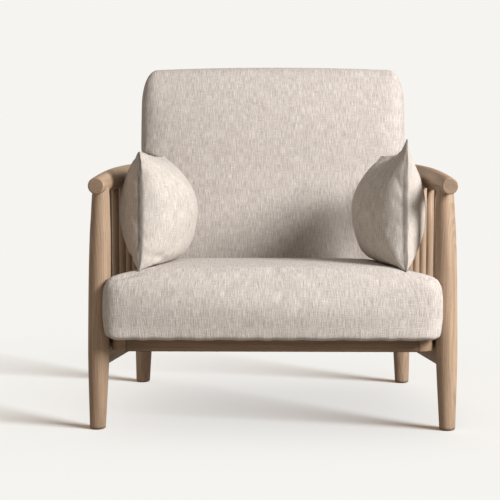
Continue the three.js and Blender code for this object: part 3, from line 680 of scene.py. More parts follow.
# A row of upright rods on a line along Y, their feet on a sloping rail and their tops level
def makeSpindleTree(s):
    tree, given, out = newGeometryTree("spindle row", [
        ("Count", "NodeSocketInt", s["count"]),
        ("Pitch", "NodeSocketFloat", 0.08),
        ("Diameter", "NodeSocketFloat", s["diameter"]),
        ("Foot", "NodeSocketFloat", 0.2),
        ("Fall", "NodeSocketFloat", 0.05),
        ("Top", "NodeSocketFloat", 0.5),
        ("Material", "NodeSocketMaterial", None),
    ])
    step = made(tree, "ShaderNodeCombineXYZ", {1: given["Pitch"]})
    line = made(
        tree, "GeometryNodeMeshLine", {"Count": given["Count"], "Start Location": step, "Offset": step}, mode="OFFSET"
    )
    position = made(tree, "GeometryNodeInputPosition")
    along = addNode(tree, "ShaderNodeSeparateXYZ", {0: position}).outputs[1]
    foot = maths(tree, "SUBTRACT", given["Foot"], maths(tree, "MULTIPLY", along, given["Fall"]))
    lift = made(tree, "ShaderNodeCombineXYZ", {2: foot})
    height = maths(tree, "SUBTRACT", given["Top"], foot)
    keptHeight = storeNamed(tree, line, "rodHeight", height)
    keptPlace = storeNamed(tree, keptHeight, "rodPlace", along)
    raised = made(tree, "GeometryNodeSetPosition", {"Geometry": keptPlace, "Offset": lift})
    radius = maths(tree, "DIVIDE", given["Diameter"], 2.0)
    rod = made(
        tree, "GeometryNodeMeshCylinder",
        {"Vertices": s["sides"], "Side Segments": 4, "Radius": radius, "Depth": 1.0}, fill_type="NGON"
    )
    rod = made(tree, "GeometryNodeTransform", {"Geometry": rod, "Translation": (0, 0, 0.5)})
    scale = made(tree, "ShaderNodeCombineXYZ", {0: 1.0, 1: 1.0, 2: readNamed(tree, "rodHeight")})
    rods = made(tree, "GeometryNodeInstanceOnPoints", {"Points": raised, "Instance": rod, "Scale": scale})

    # Each rod reads timber of its own
    def keepGrain(real):
        place = readNamed(tree, "rodPlace")
        shifts = {axis: maths(tree, "MULTIPLY", place, share) for axis, share in enumerate((0.21, -0.93, 11.0))}
        own = made(tree, "ShaderNodeCombineXYZ", shifts)
        where = made(tree, "GeometryNodeInputPosition")
        grain = made(tree, "ShaderNodeVectorMath", {0: where, 1: own}, operation="ADD")
        return storeNamed(tree, real, "grain", grain, "FLOAT_VECTOR")

    finishTree(tree, rods, given["Material"], out, keepGrain)
    return tree


# Sets the inputs by their identifiers, and turns what the tree makes into a plain mesh piece.
def growPiece(name, tree, values, axes=None, start=None):
    holder = bpy.data.objects.new(name, start or bpy.data.meshes.new(name))
    scene.collection.objects.link(holder)
    grower = holder.modifiers.new("grower", "NODES")
    grower.node_group = tree
    for item in tree.interface.items_tree:
        if item.item_type == "SOCKET" and item.in_out == "INPUT" and item.name in values:
            grower[item.identifier] = values[item.name]
    evaluated = holder.evaluated_get(bpy.context.evaluated_depsgraph_get())
    mesh = bpy.data.meshes.new_from_object(evaluated)
    bpy.data.objects.remove(holder)
    if axes is not None:
        mesh.transform(axes)
    mesh.name = name
    piece = bpy.data.objects.new(name, mesh)
    scene.collection.objects.link(piece)
    return piece


def makeSpindles(s):
    tree = makeSpindleTree(s)
    rake = math.radians(chairShape["seatRake"])
    middle = railShape["height"] / 2
    railTop = railShape["bottomHeight"] + middle + middle / math.cos(rake)
    values = {
        "Count": s["count"],
        "Pitch": chairShape["legSpacing"] / (s["count"] + 1),
        "Diameter": s["diameter"],
        "Foot": railTop - s["railDepth"],
        "Fall": math.tan(rake),
        "Top": chairShape["armUnderside"] + s["armDepth"],
        "Material": oak,
    }
    for label in sides:
        piece = growPiece(f"spindles_{label}", tree, values, sideAxes[label])
        finishPiece(piece, oak, [f"spindle_{label}_{i + 1}" for i in range(s["count"])])


makeSpindles(spindleShape)


# Front rail of the seat with its corner blocks

seatFrameShape = {
    "height": 0.028,
    "depth": 0.026,
    "front": 0.024,          # ahead of the front leg's axis
    "legGap": 0.005,
    "cornerRadius": 0.034,
    "ease": 0.0025,
    "joint": 0.0006,         # half of the fine V where two lengths meet
    "fit": 0.0003,
}


def seatFrameCorner(s):
    shareUp = chairShape["seatFrameBottom"] / chairShape["armUnderside"]
    legX = chairShape["sideHalfWidth"] + chairShape["legKick"] * (1 - shareUp)
    half = legX - legShape["diameter"] / 2 - s["legGap"]
    return half - s["cornerRadius"], s["cornerRadius"] - s["front"]


def makeSeatFront(s):
    cornerX, cornerY = seatFrameCorner(s)
    length = 2 * (cornerX - s["fit"])
    axes = seatAxes @ shift(-length / 2, s["depth"] / 2 - s["front"], s["height"] / 2) @ rotation("Z", -90)
    points, faces = easedBar(straightStations(length, s["joint"]), s["depth"], s["height"], s["ease"])
    rail = woodPiece("front_rail", points, faces, axes, [0, 2, 1], pith=(0.03, 0.05))
    # The front rail takes the darker oak, painted shade under the seat pad's overhang.
    finishPiece(rail, oakPaintedShade, ["seat_front_rail"])
    middle = s["cornerRadius"] - s["depth"] / 2
    toe = math.radians(chairShape["sideToe"])
    for label, side in sides.items():
        stations = []
        steps = 20
        for i in range(steps + 1):
            angle = -quarter + (quarter + toe) * i / steps
            inset = s["joint"] if i in (0, steps) else 0.0
            direction = np.array([side * math.cos(angle), math.sin(angle), 0])
            stations.append((direction * middle, direction, np.array([0, 0, 1]), inset))
        nudge = s["joint"] / middle
        for place, angle in ((1, -quarter + nudge), (steps + 1, toe - nudge)):
            direction = np.array([side * math.cos(angle), math.sin(angle), 0])
            stations.insert(place, (direction * middle, direction, np.array([0, 0, 1]), 0.0))
        points, faces = easedBar(stations, s["depth"], s["height"], s["ease"])
        axes = seatAxes @ shift(side * cornerX, cornerY, s["height"] / 2)
        block = woodPiece(f"rail_corner_{label}", points, faces, axes, [1, 2, 0], pith=(0.03, 0.05))
        # The corner blocks take the darker oak, painted shade under the seat pad.
        finishPiece(block, oakPaintedShade, [f"seat_corner_block_{label}"])


makeSeatFront(seatFrameShape)
print("timber made")


# Padded pieces. A block with rounded edges is a grid on a box, bent round; each corner keeps its place on the cloth.

# Where the faces of a block lie on the cloth, in metres apart from its front and top
sideCloth, rearCloth, underCloth, cushionStart = 5, 11, 17, 23


def edgedLine(half, low, high, cell, seams=()):
    flatLow, flatHigh = -half + low, half - high
    count = max(2, round((flatHigh - flatLow) / cell))
    places = [(p, p) for p in np.linspace(flatLow, flatHigh, count + 1)]
    for edge, flat, sign in ((low, flatLow, -1), (high, flatHigh, 1)):
        bends = max(3, round(edge * math.pi / 4 / cell) + 1)
        angles = list(np.linspace(0, math.pi / 4, bends + 1)[1:])
        angles += [angle for angle in (math.pi / 4 - d / edge for d in seams) if angle > 0.05]
        for angle in sorted(set(round(a, 5) for a in angles)):
            places.append((flat + sign * edge * math.tan(angle), flat + sign * edge * angle))
    places.sort()
    kept = [places[0]]
    for place in places[1:-1]:
        if place[0] - kept[-1][0] > 0.0008:
            kept.append(place)
    kept.append(places[-1])
    kept = np.array(kept)
    return kept[:, 0], kept[:, 1]


# halves are half sizes, edges are (low end, high end) of the rounding along each axis
def roundedBlock(halves, edges, cell, seams=()):
    lines = [edgedLine(halves[a], edges[a][0], edges[a][1], cell, seams) for a in range(3)]
    counts = [len(line[0]) - 1 for line in lines]
    numbers, spots = {}, []

    def number(spot):
        if spot not in numbers:
            numbers[spot] = len(spots)
            spots.append(spot)
        return numbers[spot]

    arcs = [line[1] for line in lines]
    faces, cloth = [], []
    for axis in range(3):
        first, second = [(1, 2), (2, 0), (0, 1)][axis]
        for end in (0, counts[axis]):
            for i in range(counts[first]):
                for j in range(counts[second]):
                    around = [(i, j), (i + 1, j), (i + 1, j + 1), (i, j + 1)]
                    if end == 0:
                        around.reverse()
                    face = []
                    for a, b in around:
                        spot = [0, 0, 0]
                        spot[axis], spot[first], spot[second] = end, a, b
                        face.append(tuple(spot))
                    faces.append([number(spot) for spot in face])
                    for spot in face:
                        x, y, z = (arcs[k][spot[k]] for k in range(3))
                        top, back = arcs[2][-1], arcs[1][-1]
                        if axis == 0:
                            cloth.append((y + (sideCloth if end else -sideCloth), z))
                        elif axis == 1:
                            cloth.append((x, z) if end == 0 else (x + rearCloth, z))
                        else:
                            cloth.append((x, top + y - arcs[1][0]) if end else (x + underCloth, y))
    spots = np.array(spots)
    onBox = np.stack([lines[a][0][spots[:, a]] for a in range(3)], 1)
    flatLow = np.array([-halves[a] + edges[a][0] for a in range(3)])
    flatHigh = np.array([halves[a] - edges[a][1] for a in range(3)])
    core = np.clip(onBox, flatLow, flatHigh)
    reach = np.where(onBox < core, [e[0] for e in edges], [e[1] for e in edges])
    out = (onBox - core) / reach
    length = np.linalg.norm(out, axis=1, keepdims=True)
    points = core + reach * out / np.maximum(length, 1e-9)
    return {
        "points": points, "faces": faces, "cloth": np.array(cloth), "spots": spots, "counts": counts, "onBox": onBox
    }


def layCloth(mesh, cloth):
    layer = mesh.uv_layers.new(name="cloth")
    layer.data.foreach_set("uv", np.asarray(cloth, np.float32).ravel())


def normalsOf(mesh):
    flat = np.empty(len(mesh.vertices) * 3, np.float32)
    mesh.vertices.foreach_get("normal", flat)
    return flat.reshape(-1, 3).astype(float)


def edgesOf(mesh):
    flat = np.empty(len(mesh.edges) * 2, np.int32)
    mesh.edges.foreach_get("vertices", flat)
    return flat.reshape(-1, 2)


def smoothPoints(points, edges, share, times):
    for _ in range(times):
        total = np.zeros_like(points)
        count = np.zeros(len(points))
        np.add.at(total, edges[:, 0], points[edges[:, 1]])
        np.add.at(total, edges[:, 1], points[edges[:, 0]])
        np.add.at(count, edges[:, 0], 1)
        np.add.at(count, edges[:, 1], 1)
        mean = total / np.maximum(count, 1)[:, None]
        points = points + share[:, None] * (mean - points)
    return points


# Cloth simulation under inner pressure. held gives each point's pinning from 0 to 1; no point moves further than the
# cap.
def inflate(piece, held, s):
    mesh = piece.data
    start = pointsOf(mesh)
    group = piece.vertex_groups.new(name="held")
    for level in np.unique(np.round(held, 2)):
        if level > 0:
            group.add([int(i) for i in np.nonzero(np.round(held, 2) == level)[0]], float(level), "REPLACE")
    cloth = piece.modifiers.new("cloth", "CLOTH")
    c = cloth.settings
    c.quality = s["quality"]
    c.mass = s["mass"]
    c.air_damping = s["damping"]
    c.tension_stiffness = c.compression_stiffness = s["stiffness"]
    c.shear_stiffness = s["shear"]
    c.bending_stiffness = s["bending"]
    c.use_pressure = True
    c.uniform_pressure_force = s["pressure"]
    c.shrink_min = s["shrink"]
    c.vertex_group_mass = "held"
    c.pin_stiffness = 1.0
    c.effector_weights.gravity = 0
    cloth.collision_settings.use_collision = False
    cloth.point_cache.frame_start = 1
    cloth.point_cache.frame_end = s["frames"]
    for number in range(1, s["frames"] + 1):
        scene.frame_set(number)
    end = evaluatedPoints(piece)
    piece.modifiers.remove(cloth)
    piece.vertex_groups.remove(group)
    scene.frame_set(1)
    move = end - start
    length = np.linalg.norm(move, axis=1, keepdims=True)
    move *= np.minimum(1, s["cap"] / np.maximum(length, 1e-9))
    setPoints(mesh, start + move)
    print("simulated", piece.name, "mean move in mm", round(float(np.linalg.norm(move, axis=1).mean()) * 1000, 1))


# Draws the cloth in along its seams: a narrow groove with shallow puckers beside it.
def sinkSeams(points, normals, seamDistance, seamRun, s):
    groove = np.exp(-(seamDistance / s["width"]) ** 2) * s["depth"]
    near = np.exp(-(seamDistance / s["puckerReach"]) ** 2) * (1 - np.exp(-(seamDistance / s["width"]) ** 2))
    waves = np.sin(
        seamRun * 2 * math.pi / s["puckerPitch"] + 2.2 * np.sin(seamRun * 31)
    ) * 0.5 + np.sin(seamRun * 2 * math.pi / s["puckerPitch"] * 0.43 + 1) * 0.5
    return points - normals * (groove + s["pucker"] * near * waves)[:, None]


# Brings the points back to the box that the piece is to fill.
def fitBox(points, low, high):
    nowLow, nowHigh = points.min(0), points.max(0)
    return low + (points - nowLow) * (high - low) / (nowHigh - nowLow)


def subdivide(piece):
    level = piece.modifiers.new("subdivision", "SUBSURF")
    level.levels = level.render_levels = 1
    level.boundary_smooth = "PRESERVE_CORNERS"


# Seat pad

seatPadShape = {
    "inset": 0.005,          # from the front leg's axis, ahead of the legs
    "front": 0.072,
    "height": 0.142,
    "crown": 0.020,
    "startCrown": 0.012,     # before the padding swells it
    "sideGap": 0.006,
    "legGap": 0.0035,
    "backGap": 0.003,
    "bulge": 0.008,
    "droop": 0.014,
    "lip": 0.003,
    "edgeOut": 0.006,
    "edgeDown": 0.0035,
    "edges": ((0.036, 0.036), (0.040, 0.040), (0.011, 0.034)),
    "ripple": 0.0009,        # of the lower front edge, where the cover is pulled under
    "webs": 0.0033,          # rise of the webbing over the frame
    "cell": 0.0095,
    "slack": 0.003,          # how much smaller it starts
    "earAllowance": 0.0015,  # what the smoothed skin loses at its ends
    "earRoot": 0.30,         # from the mid-plane to where the ears begin to widen
    "earBlend": 0.028,       # length over which they reach their full width
    "smoothReach": 0.006,    # from a leg to where the skin is smoothed
    "edgeTop": 0.066,        # over the frame's underside, where the sharper lower edge begins
    "edgeBlend": 0.036,
    "overhangStart": 0.006,  # ahead of the frame
    "overhangBlend": 0.02,
    "rippleHeight": 0.004,   # over the frame
    "rippleReach": 0.012,
}
seatPadCloth = {
    "quality": 5, "mass": 0.3, "damping": 1.0, "stiffness": 30, "shear": 20, "bending": 3, "pressure": 4.0,
    "shrink": 0.0, "frames": 20, "cap": 0.008
}
seatSeam = {"width": 0.0022, "depth": 0.0016, "puckerReach": 0.012, "puckerPitch": 0.021, "pucker": 0.0005}
backShape = {
    "height": 0.632,
    "thickness": 0.122,
    "overArms": 0.017,
    "waistGap": 0.005,
    "shoulderGap": 0.005,
    "shoulder": 0.010,       # height over which it widens above the arms
    "edges": (0.032, 0.030, 0.088),
    "skinEdges": (0.038, 0.042),   # rounding of the cover in width and depth, which the padding fills softly
    "crown": 0.009,
    "topRise": 0.008,
    "footEdge": 0.012,
    "cell": 0.0105,
    "slack": 0.003,
}


def rearLegX():
    return chairShape["sideHalfWidth"] - chairShape["legSpacing"] * math.sin(math.radians(chairShape["sideToe"]))


def backHalfWidth():
    return rearLegX() + backShape["overArms"]


# The back's front face at a point of its own axes: what the seat pad and the cushions stay ahead of
def backFaceAt(x, z):
    s = backShape
    below = s["edges"][2]
    height = s["height"] - s["topRise"]
    half = (height + below) / 2
    across = np.clip(x / backHalfWidth(), -1, 1)
    up = np.clip((z + below - half) / half, -1, 1)
    return -s["crown"] * (1 - across ** 2) * (1 - up ** 2)


def awayFromLegs(world, gap):
    points = world.copy()
    profile = np.array(legShape["profile"], float)
    for label, side in sides.items():
        back = np.array(sideAxes[label].inverted())
        local = points @ back[:3, :3].T + back[:3, 3]
        share = local[:, 2] / chairShape["armUnderside"]
        radius = np.interp(share, profile[:, 0], profile[:, 1]) * legShape["diameter"] / 2 + gap
        for along in (0.0, chairShape["legSpacing"]):
            axisX = side * chairShape["legKick"] * (1 - share)
            away = np.stack([local[:, 0] - axisX, local[:, 1] - along], 1)
            distance = np.linalg.norm(away, axis=1)
            inside = (distance < radius) & (share < 1.0)
            target = away * (radius / np.maximum(distance, 1e-6))[:, None]
            local[inside, 0] = axisX[inside] + target[inside, 0]
            local[inside, 1] = along + target[inside, 1]
        points = inAxes(local, sideAxes[label])
    return points


def makeSeatPad(s):
    toe = math.radians(chairShape["sideToe"])
    widest = chairShape["sideHalfWidth"] - s["inset"]
    rear = chairShape["backFootFront"] + s["bulge"]
    halves = np.array([widest, (rear + s["front"]) / 2, s["height"] / 2])
    middleY = (rear - s["front"]) / 2
    block = roundedBlock(halves - s["slack"], s["edges"], s["cell"], seams=(0.0025, 0.006))
    points = block["points"]
    shares = points / halves
    across, deep, up = shares.T
    inFront, behind = np.maximum(0, -deep), np.maximum(0, deep)
    fullAcross, fullDeep, fullUp = 1 - across ** 4, 1 - deep ** 2, 1 - up ** 2
    x, y, z = points.T.copy()
    y = y - s["bulge"] * inFront ** 4 * fullUp * (1 - across ** 4)
    y = y + behind * math.tan(math.radians(chairShape["backLean"] - chairShape["seatRake"])) * (z + halves[2])
    spindleFace = chairShape["sideHalfWidth"] - (middleY + y) * math.sin(toe)
    spindleFace = spindleFace - spindleShape["diameter"] / 2 - s["sideGap"]
    half = np.minimum(widest, spindleFace)
    x = x * (half + s["bulge"] * (fullUp - 1)) / widest
    crown = s["startCrown"]
    z = z + np.where(
        up > 0, up * (crown * fullAcross * fullDeep - s["droop"] * behind ** 2), up * s["lip"] * inFront ** 3
    )
    points = np.stack([x, y + middleY, z + seatFrameShape["height"] + s["webs"] + halves[2]], 1)
    middle = (points.min(0) + points.max(0)) / 2
    target = middle + (points - middle) * (1 + s["slack"] / halves)
    target[:, 2] += np.where(up > 0, s["crown"] - crown, 0)
    piece = meshPiece("upholstered_seat", points, block["faces"], seatAxes)
    layCloth(piece.data, block["cloth"])
    spots, counts = block["spots"], block["counts"]
    onSide = (spots[:, 0] == 0) | (spots[:, 0] == counts[0])
    rest = up < -0.93
    seam = onSide & (
        (spots[:, 1] == 0) | (spots[:, 1] == counts[1]) | (spots[:, 2] == 0) | (spots[:, 2] == counts[2])
    )
    held = np.where(up < -0.8, 1.0, np.where(seam, 0.9, 0.0))
    inflate(piece, held, seatPadCloth)
    edges = edgesOf(piece.data)
    local = inAxes(pointsOf(piece.data), seatAxes.inverted())
    world = inAxes(fitBox(local, target.min(0), target.max(0)), seatAxes)
    fromEdge = np.abs(np.abs(block["onBox"]) - halves + s["slack"])
    distance = np.hypot(fromEdge[:, 0], np.minimum(fromEdge[:, 1], fromEdge[:, 2]))
    run = block["onBox"][:, 1] + block["onBox"][:, 2]
    world = sinkSeams(world, normalsOf(piece.data), distance, run, seatSeam)
    for _ in range(3):
        world = awayFromLegs(world, s["legGap"])
        near = np.linalg.norm(awayFromLegs(world, s["legGap"] + s["smoothReach"]) - world, axis=1) > 1e-6
        level = world[:, 2].copy()
        world = smoothPoints(world, edges, near * 0.5, 2)
        world[:, 2] = level
    # The ears ahead of the legs keep their full width
    local = inAxes(world, seatAxes.inverted())
    ahead = np.clip(-local[:, 1] / s["earBlend"], 0, 1)
    out, root = np.abs(local[:, 0]), s["earRoot"]
    reach = out[ahead > 0.9].max()
    widened = root + (out - root) * (widest + s["earAllowance"] - root) / (reach - root)
    widened = np.where(out > root, widened, out)
    local[:, 0] = np.sign(local[:, 0]) * (out * (1 - ahead) + widened * ahead)
    # The lower front edge is sharper than the swelling leaves it
    fromFrame = -local[:, 1] - seatFrameShape["front"]
    overhang = np.clip((fromFrame - s["overhangStart"]) / s["overhangBlend"], 0, 1)
    edge = np.clip((s["edgeTop"] - local[:, 2]) / s["edgeBlend"], 0, 1)
    edge = overhang * edge * edge * (3 - 2 * edge)
    local[:, 1] -= s["edgeOut"] * edge
    local[:, 2] -= s["edgeDown"] * edge
    aboveFrame = local[:, 2] - seatFrameShape["height"] - s["rippleHeight"]
    ahead = -local[:, 1] - seatFrameShape["front"] > s["rippleHeight"]
    low = np.exp(-(aboveFrame / s["rippleReach"]) ** 2) * ahead
    wave = np.sin(local[:, 0] * 95 + 1.7 * np.sin(local[:, 0] * 23)) + 0.6 * np.sin(local[:, 0] * 211 + 1)
    local[:, 2] += s["ripple"] * low * wave
    world = awayFromLegs(inAxes(local, seatAxes), s["legGap"])
    # Flat under the frame's top, and ahead of the back
    local = inAxes(world, seatAxes.inverted())
    floor = seatFrameShape["height"] + s["webs"]
    local[:, 2] = np.where(
        rest & (local[:, 1] > -seatFrameShape["front"]), np.maximum(local[:, 2], floor), local[:, 2]
    )
    world = inAxes(local, seatAxes)
    inBack = inAxes(world, backAxes.inverted())
    limit = backFaceAt(inBack[:, 0], inBack[:, 2]) - s["backGap"]
    inBack[:, 1] = np.where(world[:, 1] > boxMiddle("seat_pad").y, np.minimum(inBack[:, 1], limit), inBack[:, 1])
    world = inAxes(inBack, backAxes)
    setPoints(piece.data, world)
    subdivide(piece)
    finishPiece(piece, linen, ["seat_pad"])
    return piece


seatPiece = makeSeatPad(seatPadShape)
print("seat pad made")


# Back

backCloth = dict(seatPadCloth, cap=0.007)
panelShape = {
    "halfWidth": 0.2475,
    "top": 0.556,
    "sink": 0.007,           # depth of the bed that the panel lies in
    "dome": 0.0035,
    "margin": 0.0015,
    "halfDepth": 0.003,
    "bedding": 0.004,        # from the back's rear face to the panel's middle
    "corner": 0.012,
    "rim": 0.0028,
}


def makeBack(s):
    halfWidth = backHalfWidth()
    waist = rearLegX() - legShape["diameter"] / 2 - s["waistGap"]
    height = s["height"] - s["topRise"]
    halves = np.array([halfWidth, s["thickness"] / 2, height / 2])
    edges = [(s["skinEdges"][0],) * 2, (s["skinEdges"][1], s["edges"][1]), (s["footEdge"], s["edges"][2])]
    block = roundedBlock(halves - [s["slack"], s["slack"], 0], edges, s["cell"], seams=(0.0025, 0.006))
    points = block["points"]
    x, y, z = points.T.copy()
    z = z + halves[2]
    below = s["edges"][2]
    full = (height + below) / 2
    up = (z + below - full) / full
    across, deep = x / halves[0], y / halves[1]
    y = y + np.where(deep < 0, deep * s["crown"] * (1 - across ** 4) * (1 - up ** 2), 0)
    z = z + np.maximum(0, up) ** 4 * s["topRise"] * (1 - across ** 2)
    points = np.stack([x, y + halves[1], z], 1)
    worldUp = inAxes(points, backAxes)[:, 2] - chairOrigin.translation.z
    shoulder = chairShape["armUnderside"] + armShape["height"] + s["shoulderGap"]
    rise = np.clip((worldUp - shoulder) / s["shoulder"], 0, 1)
    rise = rise * rise * (3 - 2 * rise)
    narrowing = (waist + (halfWidth - waist) * rise) / halfWidth
    points[:, 0] *= narrowing
    piece = meshPiece("upholstered_back", points, block["faces"], backAxes)
    cloth, corners = block["cloth"], np.concatenate(block["faces"])
    rearFace = rearCloth * (np.abs(cloth[:, 0] - rearCloth) < 1)
    acrossFace = np.abs(cloth[:, 0] - rearFace) < 1
    cloth[:, 0] = np.where(acrossFace, (cloth[:, 0] - rearFace) * narrowing[corners] + rearFace, cloth[:, 0])
    layCloth(piece.data, cloth)
    spots, counts = block["spots"], block["counts"]
    rear = (y > 0.6 * halves[1]) & (np.abs(points[:, 0]) < panelShape["halfWidth"]) & (z < panelShape["top"])
    onSide = (spots[:, 0] == 0) | (spots[:, 0] == counts[0]) | (spots[:, 2] == counts[2])
    seam = onSide & ((spots[:, 1] == 0) | (spots[:, 1] == counts[1]))
    held = np.where(
        (spots[:, 2] == 0) | rear, 1.0, np.where(seam, 0.9, np.where(worldUp < shoulder + s["shoulder"], 0.3, 0.0))
    )
    held = np.where((np.abs(points[:, 0]) > waist - 0.01) & (worldUp < shoulder + s["shoulder"]), 0.95, held)
    inflate(piece, held, backCloth)
    local = inAxes(pointsOf(piece.data), backAxes.inverted())
    low, high = points.min(0), points.max(0)
    low, high = np.array([-halfWidth, low[1] - s["slack"], low[2]]), np.array([halfWidth, s["thickness"], high[2]])
    local = fitBox(local, low, high)
    bed = (y > 0) & (
        np.abs(local[:, 0]) < panelShape["halfWidth"] + 0.001
    ) & (local[:, 2] < panelShape["top"] + 0.001)
    local[:, 1] = np.where(bed, s["thickness"] - panelShape["sink"], local[:, 1])
    local[:, 1] = np.minimum(local[:, 1], s["thickness"])
    world = inAxes(local, backAxes)
    world[:, 2] += (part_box("back_pad")[1].z - world[:, 2].max()) * np.clip(up, 0, 1) ** 2
    setPoints(piece.data, world)
    subdivide(piece)
    finishPiece(piece, linen, ["back_pad"])


makeBack(backShape)


def makeOuterPanel(s):
    half = [s["halfWidth"] - s["margin"], s["halfDepth"], s["top"] / 2 - s["margin"]]
    block = roundedBlock(half, [(edge, edge) for edge in (s["corner"], s["rim"], s["corner"])], s["corner"])
    x, y, z = block["points"].T.copy()
    across, up = x / half[0], z / half[2]
    y = y + np.where(y > 0, s["dome"] * (1 - across ** 4) * (1 - up ** 4), 0)
    points = np.stack([x, y + backShape["thickness"] - s["bedding"], z + s["top"] / 2], 1)
    piece = meshPiece("back_panel", points, block["faces"], backAxes)
    layCloth(piece.data, block["cloth"])
    subdivide(piece)
    finishPiece(piece, linen, ["back_outer_panel"])


makeOuterPanel(panelShape)
print("back made")


# Loose cushions: two panels sewn round their border, full in the middle and drawn out at the corners

cushionShape = {
    "length": 0.372,
    "height": 0.264,
    "inner": {"left": 0.106, "right": 0.096},
    "outer": 0.068,
    "seam": 0.002,
    "longDraw": (0.003, 0.006),   # of the lower seam, which lies on the seat, and of the upper one
    "uprightDraw": 0.012,
    "endFullness": 0.7,
    "fullness": {-1: (0.85, 0.4), 1: (0.7, 0.65)},   # inner and outer face, above and below the middle
    "turn": 4.2,
    "front": 0.012,
    "inset": 0.082,
    "tip": {"left": -0.004, "right": 0.024},   # how much higher its upper front corner is drawn
    "rearTip": -0.006,
    "clear": 0.0016,
    "seamShade": 0.0013,     # reach of the shade in the seam
    "clothHalf": (0.23, 0.18),   # half sizes of a panel, laid flat
    "steps": (60, 48),
    "groove": 0.0028,        # how far the seam lies below the cloth beside it
}
cushionCloth = {
    "quality": 6, "mass": 0.2, "damping": 1.0, "stiffness": 22, "shear": 8, "bending": 0.4, "pressure": 3.0,
    "shrink": -0.015, "frames": 24, "cap": 0.010
}


def sewnCover(label, s):
    along, upwards = s["steps"]
    u = np.sin(math.pi * (np.arange(along + 1) / along - 0.5))
    v = np.sin(math.pi * (np.arange(upwards + 1) / upwards - 0.5))
    points, faces, cloth, numbers, shares = [], [], [], {}, []

    def corner(face, i, j):
        sewn = i in (0, along) or j in (0, upwards)
        key = (0 if sewn else face, i, j)
        if key not in numbers:
            numbers[key] = len(points)
            towardsSeam = s["fullness"][face][0 if v[j] > 0 else 1]
            full = max(0.0, 1 - u[i] ** 2) ** s["endFullness"] * max(0.0, 1 - v[j] ** 2) ** towardsSeam
            thick = s["outer"] if face > 0 else s["inner"][label]
            y = u[i] * (s["length"] / 2 - s["uprightDraw"] * (1 - v[j] ** 2))
            draw = s["longDraw"][0] + (s["longDraw"][1] - s["longDraw"][0]) * (v[j] + 1) / 2
            z = v[j] * (s["height"] / 2 - draw * (1 - u[i] ** 2))
            if sewn:
                tip = (abs(u[i]) * abs(v[j])) ** 12
                y -= math.copysign(s["groove"] * (1 - tip), u[i]) * (i in (0, along))
                z -= math.copysign(s["groove"] * (1 - tip), v[j]) * (j in (0, upwards))
            points.append((0.0 if sewn else face * (s["seam"] + (thick - s["seam"]) * full), y, z))
            shares.append((key[0], u[i], v[j]))
        return numbers[key]

    arcs = [np.arcsin(w) / quarter for w in (u, v)]
    for face in (-1, 1):
        for i in range(along):
            for j in range(upwards):
                around = [(i, j), (i + 1, j), (i + 1, j + 1), (i, j + 1)]
                if face < 0:
                    around.reverse()
                faces.append([corner(face, a, b) for a, b in around])
                cloth += [
                    (arcs[0][a] * s["clothHalf"][0] + cushionStart + face, arcs[1][b] * s["clothHalf"][1]) for a,
                    b in around
                ]
    return np.array(points), faces, cloth, np.array(shares)


# Folds are (face, start, end, depth, half width), with start and end as shares of the cushion's length and height.
# Short pleats run out of each corner too.
cushionFolds = {
    "left": [(-1, (-0.98, -0.72), (-0.55, -0.86), 0.0045, 0.05), (1, (-0.97, -0.70), (-0.62, -0.84), 0.004, 0.05)],
    "right": [(1, (-0.80, 0.40), (-0.66, -0.50), 0.004, 0.08), (-1, (-0.9, 0.2), (-0.75, -0.55), 0.002, 0.08)],
}


cushionPleats = {"depth": 0.0014, "count": 9, "reach": 0.3}


def crumple(points, normals, shares, folds):
    face, u, v = np.sign(shares[:, 0]), shares[:, 1], shares[:, 2]
    sink, p = np.zeros(len(points)), cushionPleats
    for side, start, end, depth, width in folds:
        run = np.array(end) - start
        length = np.linalg.norm(run)
        place = np.clip(((u - start[0]) * run[0] + (v - start[1]) * run[1]) / length ** 2, 0, 1)
        away = np.hypot(u - start[0] - place * run[0], v - start[1] - place * run[1])
        sink += depth * np.exp(-(away / width) ** 2) * np.sin(
            math.pi * np.clip(place, 0.02, 0.98)
        ) ** 0.5 * (face == side)
    for i, (cornerU, cornerV) in enumerate([(-1, -1), (1, -1), (1, 1), (-1, 1)]):
        du, dv = np.abs(u - cornerU), np.abs(v - cornerV)
        away = np.hypot(du, dv)
        turn = np.arctan2(dv, du)
        pleats = np.cos(p["count"] * turn + 1.3 * i + face) * np.sin(2 * turn)
        sink += p["depth"] * pleats * (away / p["reach"]) * np.exp(1 - away / p["reach"]) * (face != 0)
    return points - normals * sink[:, None]


# Where a cushion lies on the seat it takes the seat's shape, and where it leans on the spindles and the arm it is
# flat.
def pressed(world, label, clear):
    seat = seatPiece.evaluated_get(bpy.context.evaluated_depsgraph_get())
    toSeat = seatPiece.matrix_world.inverted()
    down = Vector((0, 0, -1))
    for i, point in enumerate(world):
        hit, place, normal, face = seat.ray_cast(toSeat @ Vector((point[0], point[1], 1.0)), down)
        if hit:
            world[i, 2] = max(point[2], place.z + clear)
    local = inAxes(world, sideAxes[label].inverted())
    fromArm = (local[:, 2] - chairShape["armUnderside"]) / (armShape["height"] / 2) - 1
    armHalf = armShape["endDiameter"] / 2 * np.sqrt(np.clip(1 - fromArm ** 2, 0, 1))
    spindleHalf = np.where(fromArm < 0, spindleShape["diameter"] / 2, 0)
    between = (local[:, 1] > 0) & (local[:, 1] < chairShape["legSpacing"]) & (fromArm < 1.1)
    limit = -np.maximum(armHalf, spindleHalf) - clear
    side = sides[label]
    local[:, 0] = side * np.where(between, np.minimum(side * local[:, 0], limit), side * local[:, 0])
    return awayFromLegs(inAxes(local, sideAxes[label]), clear)


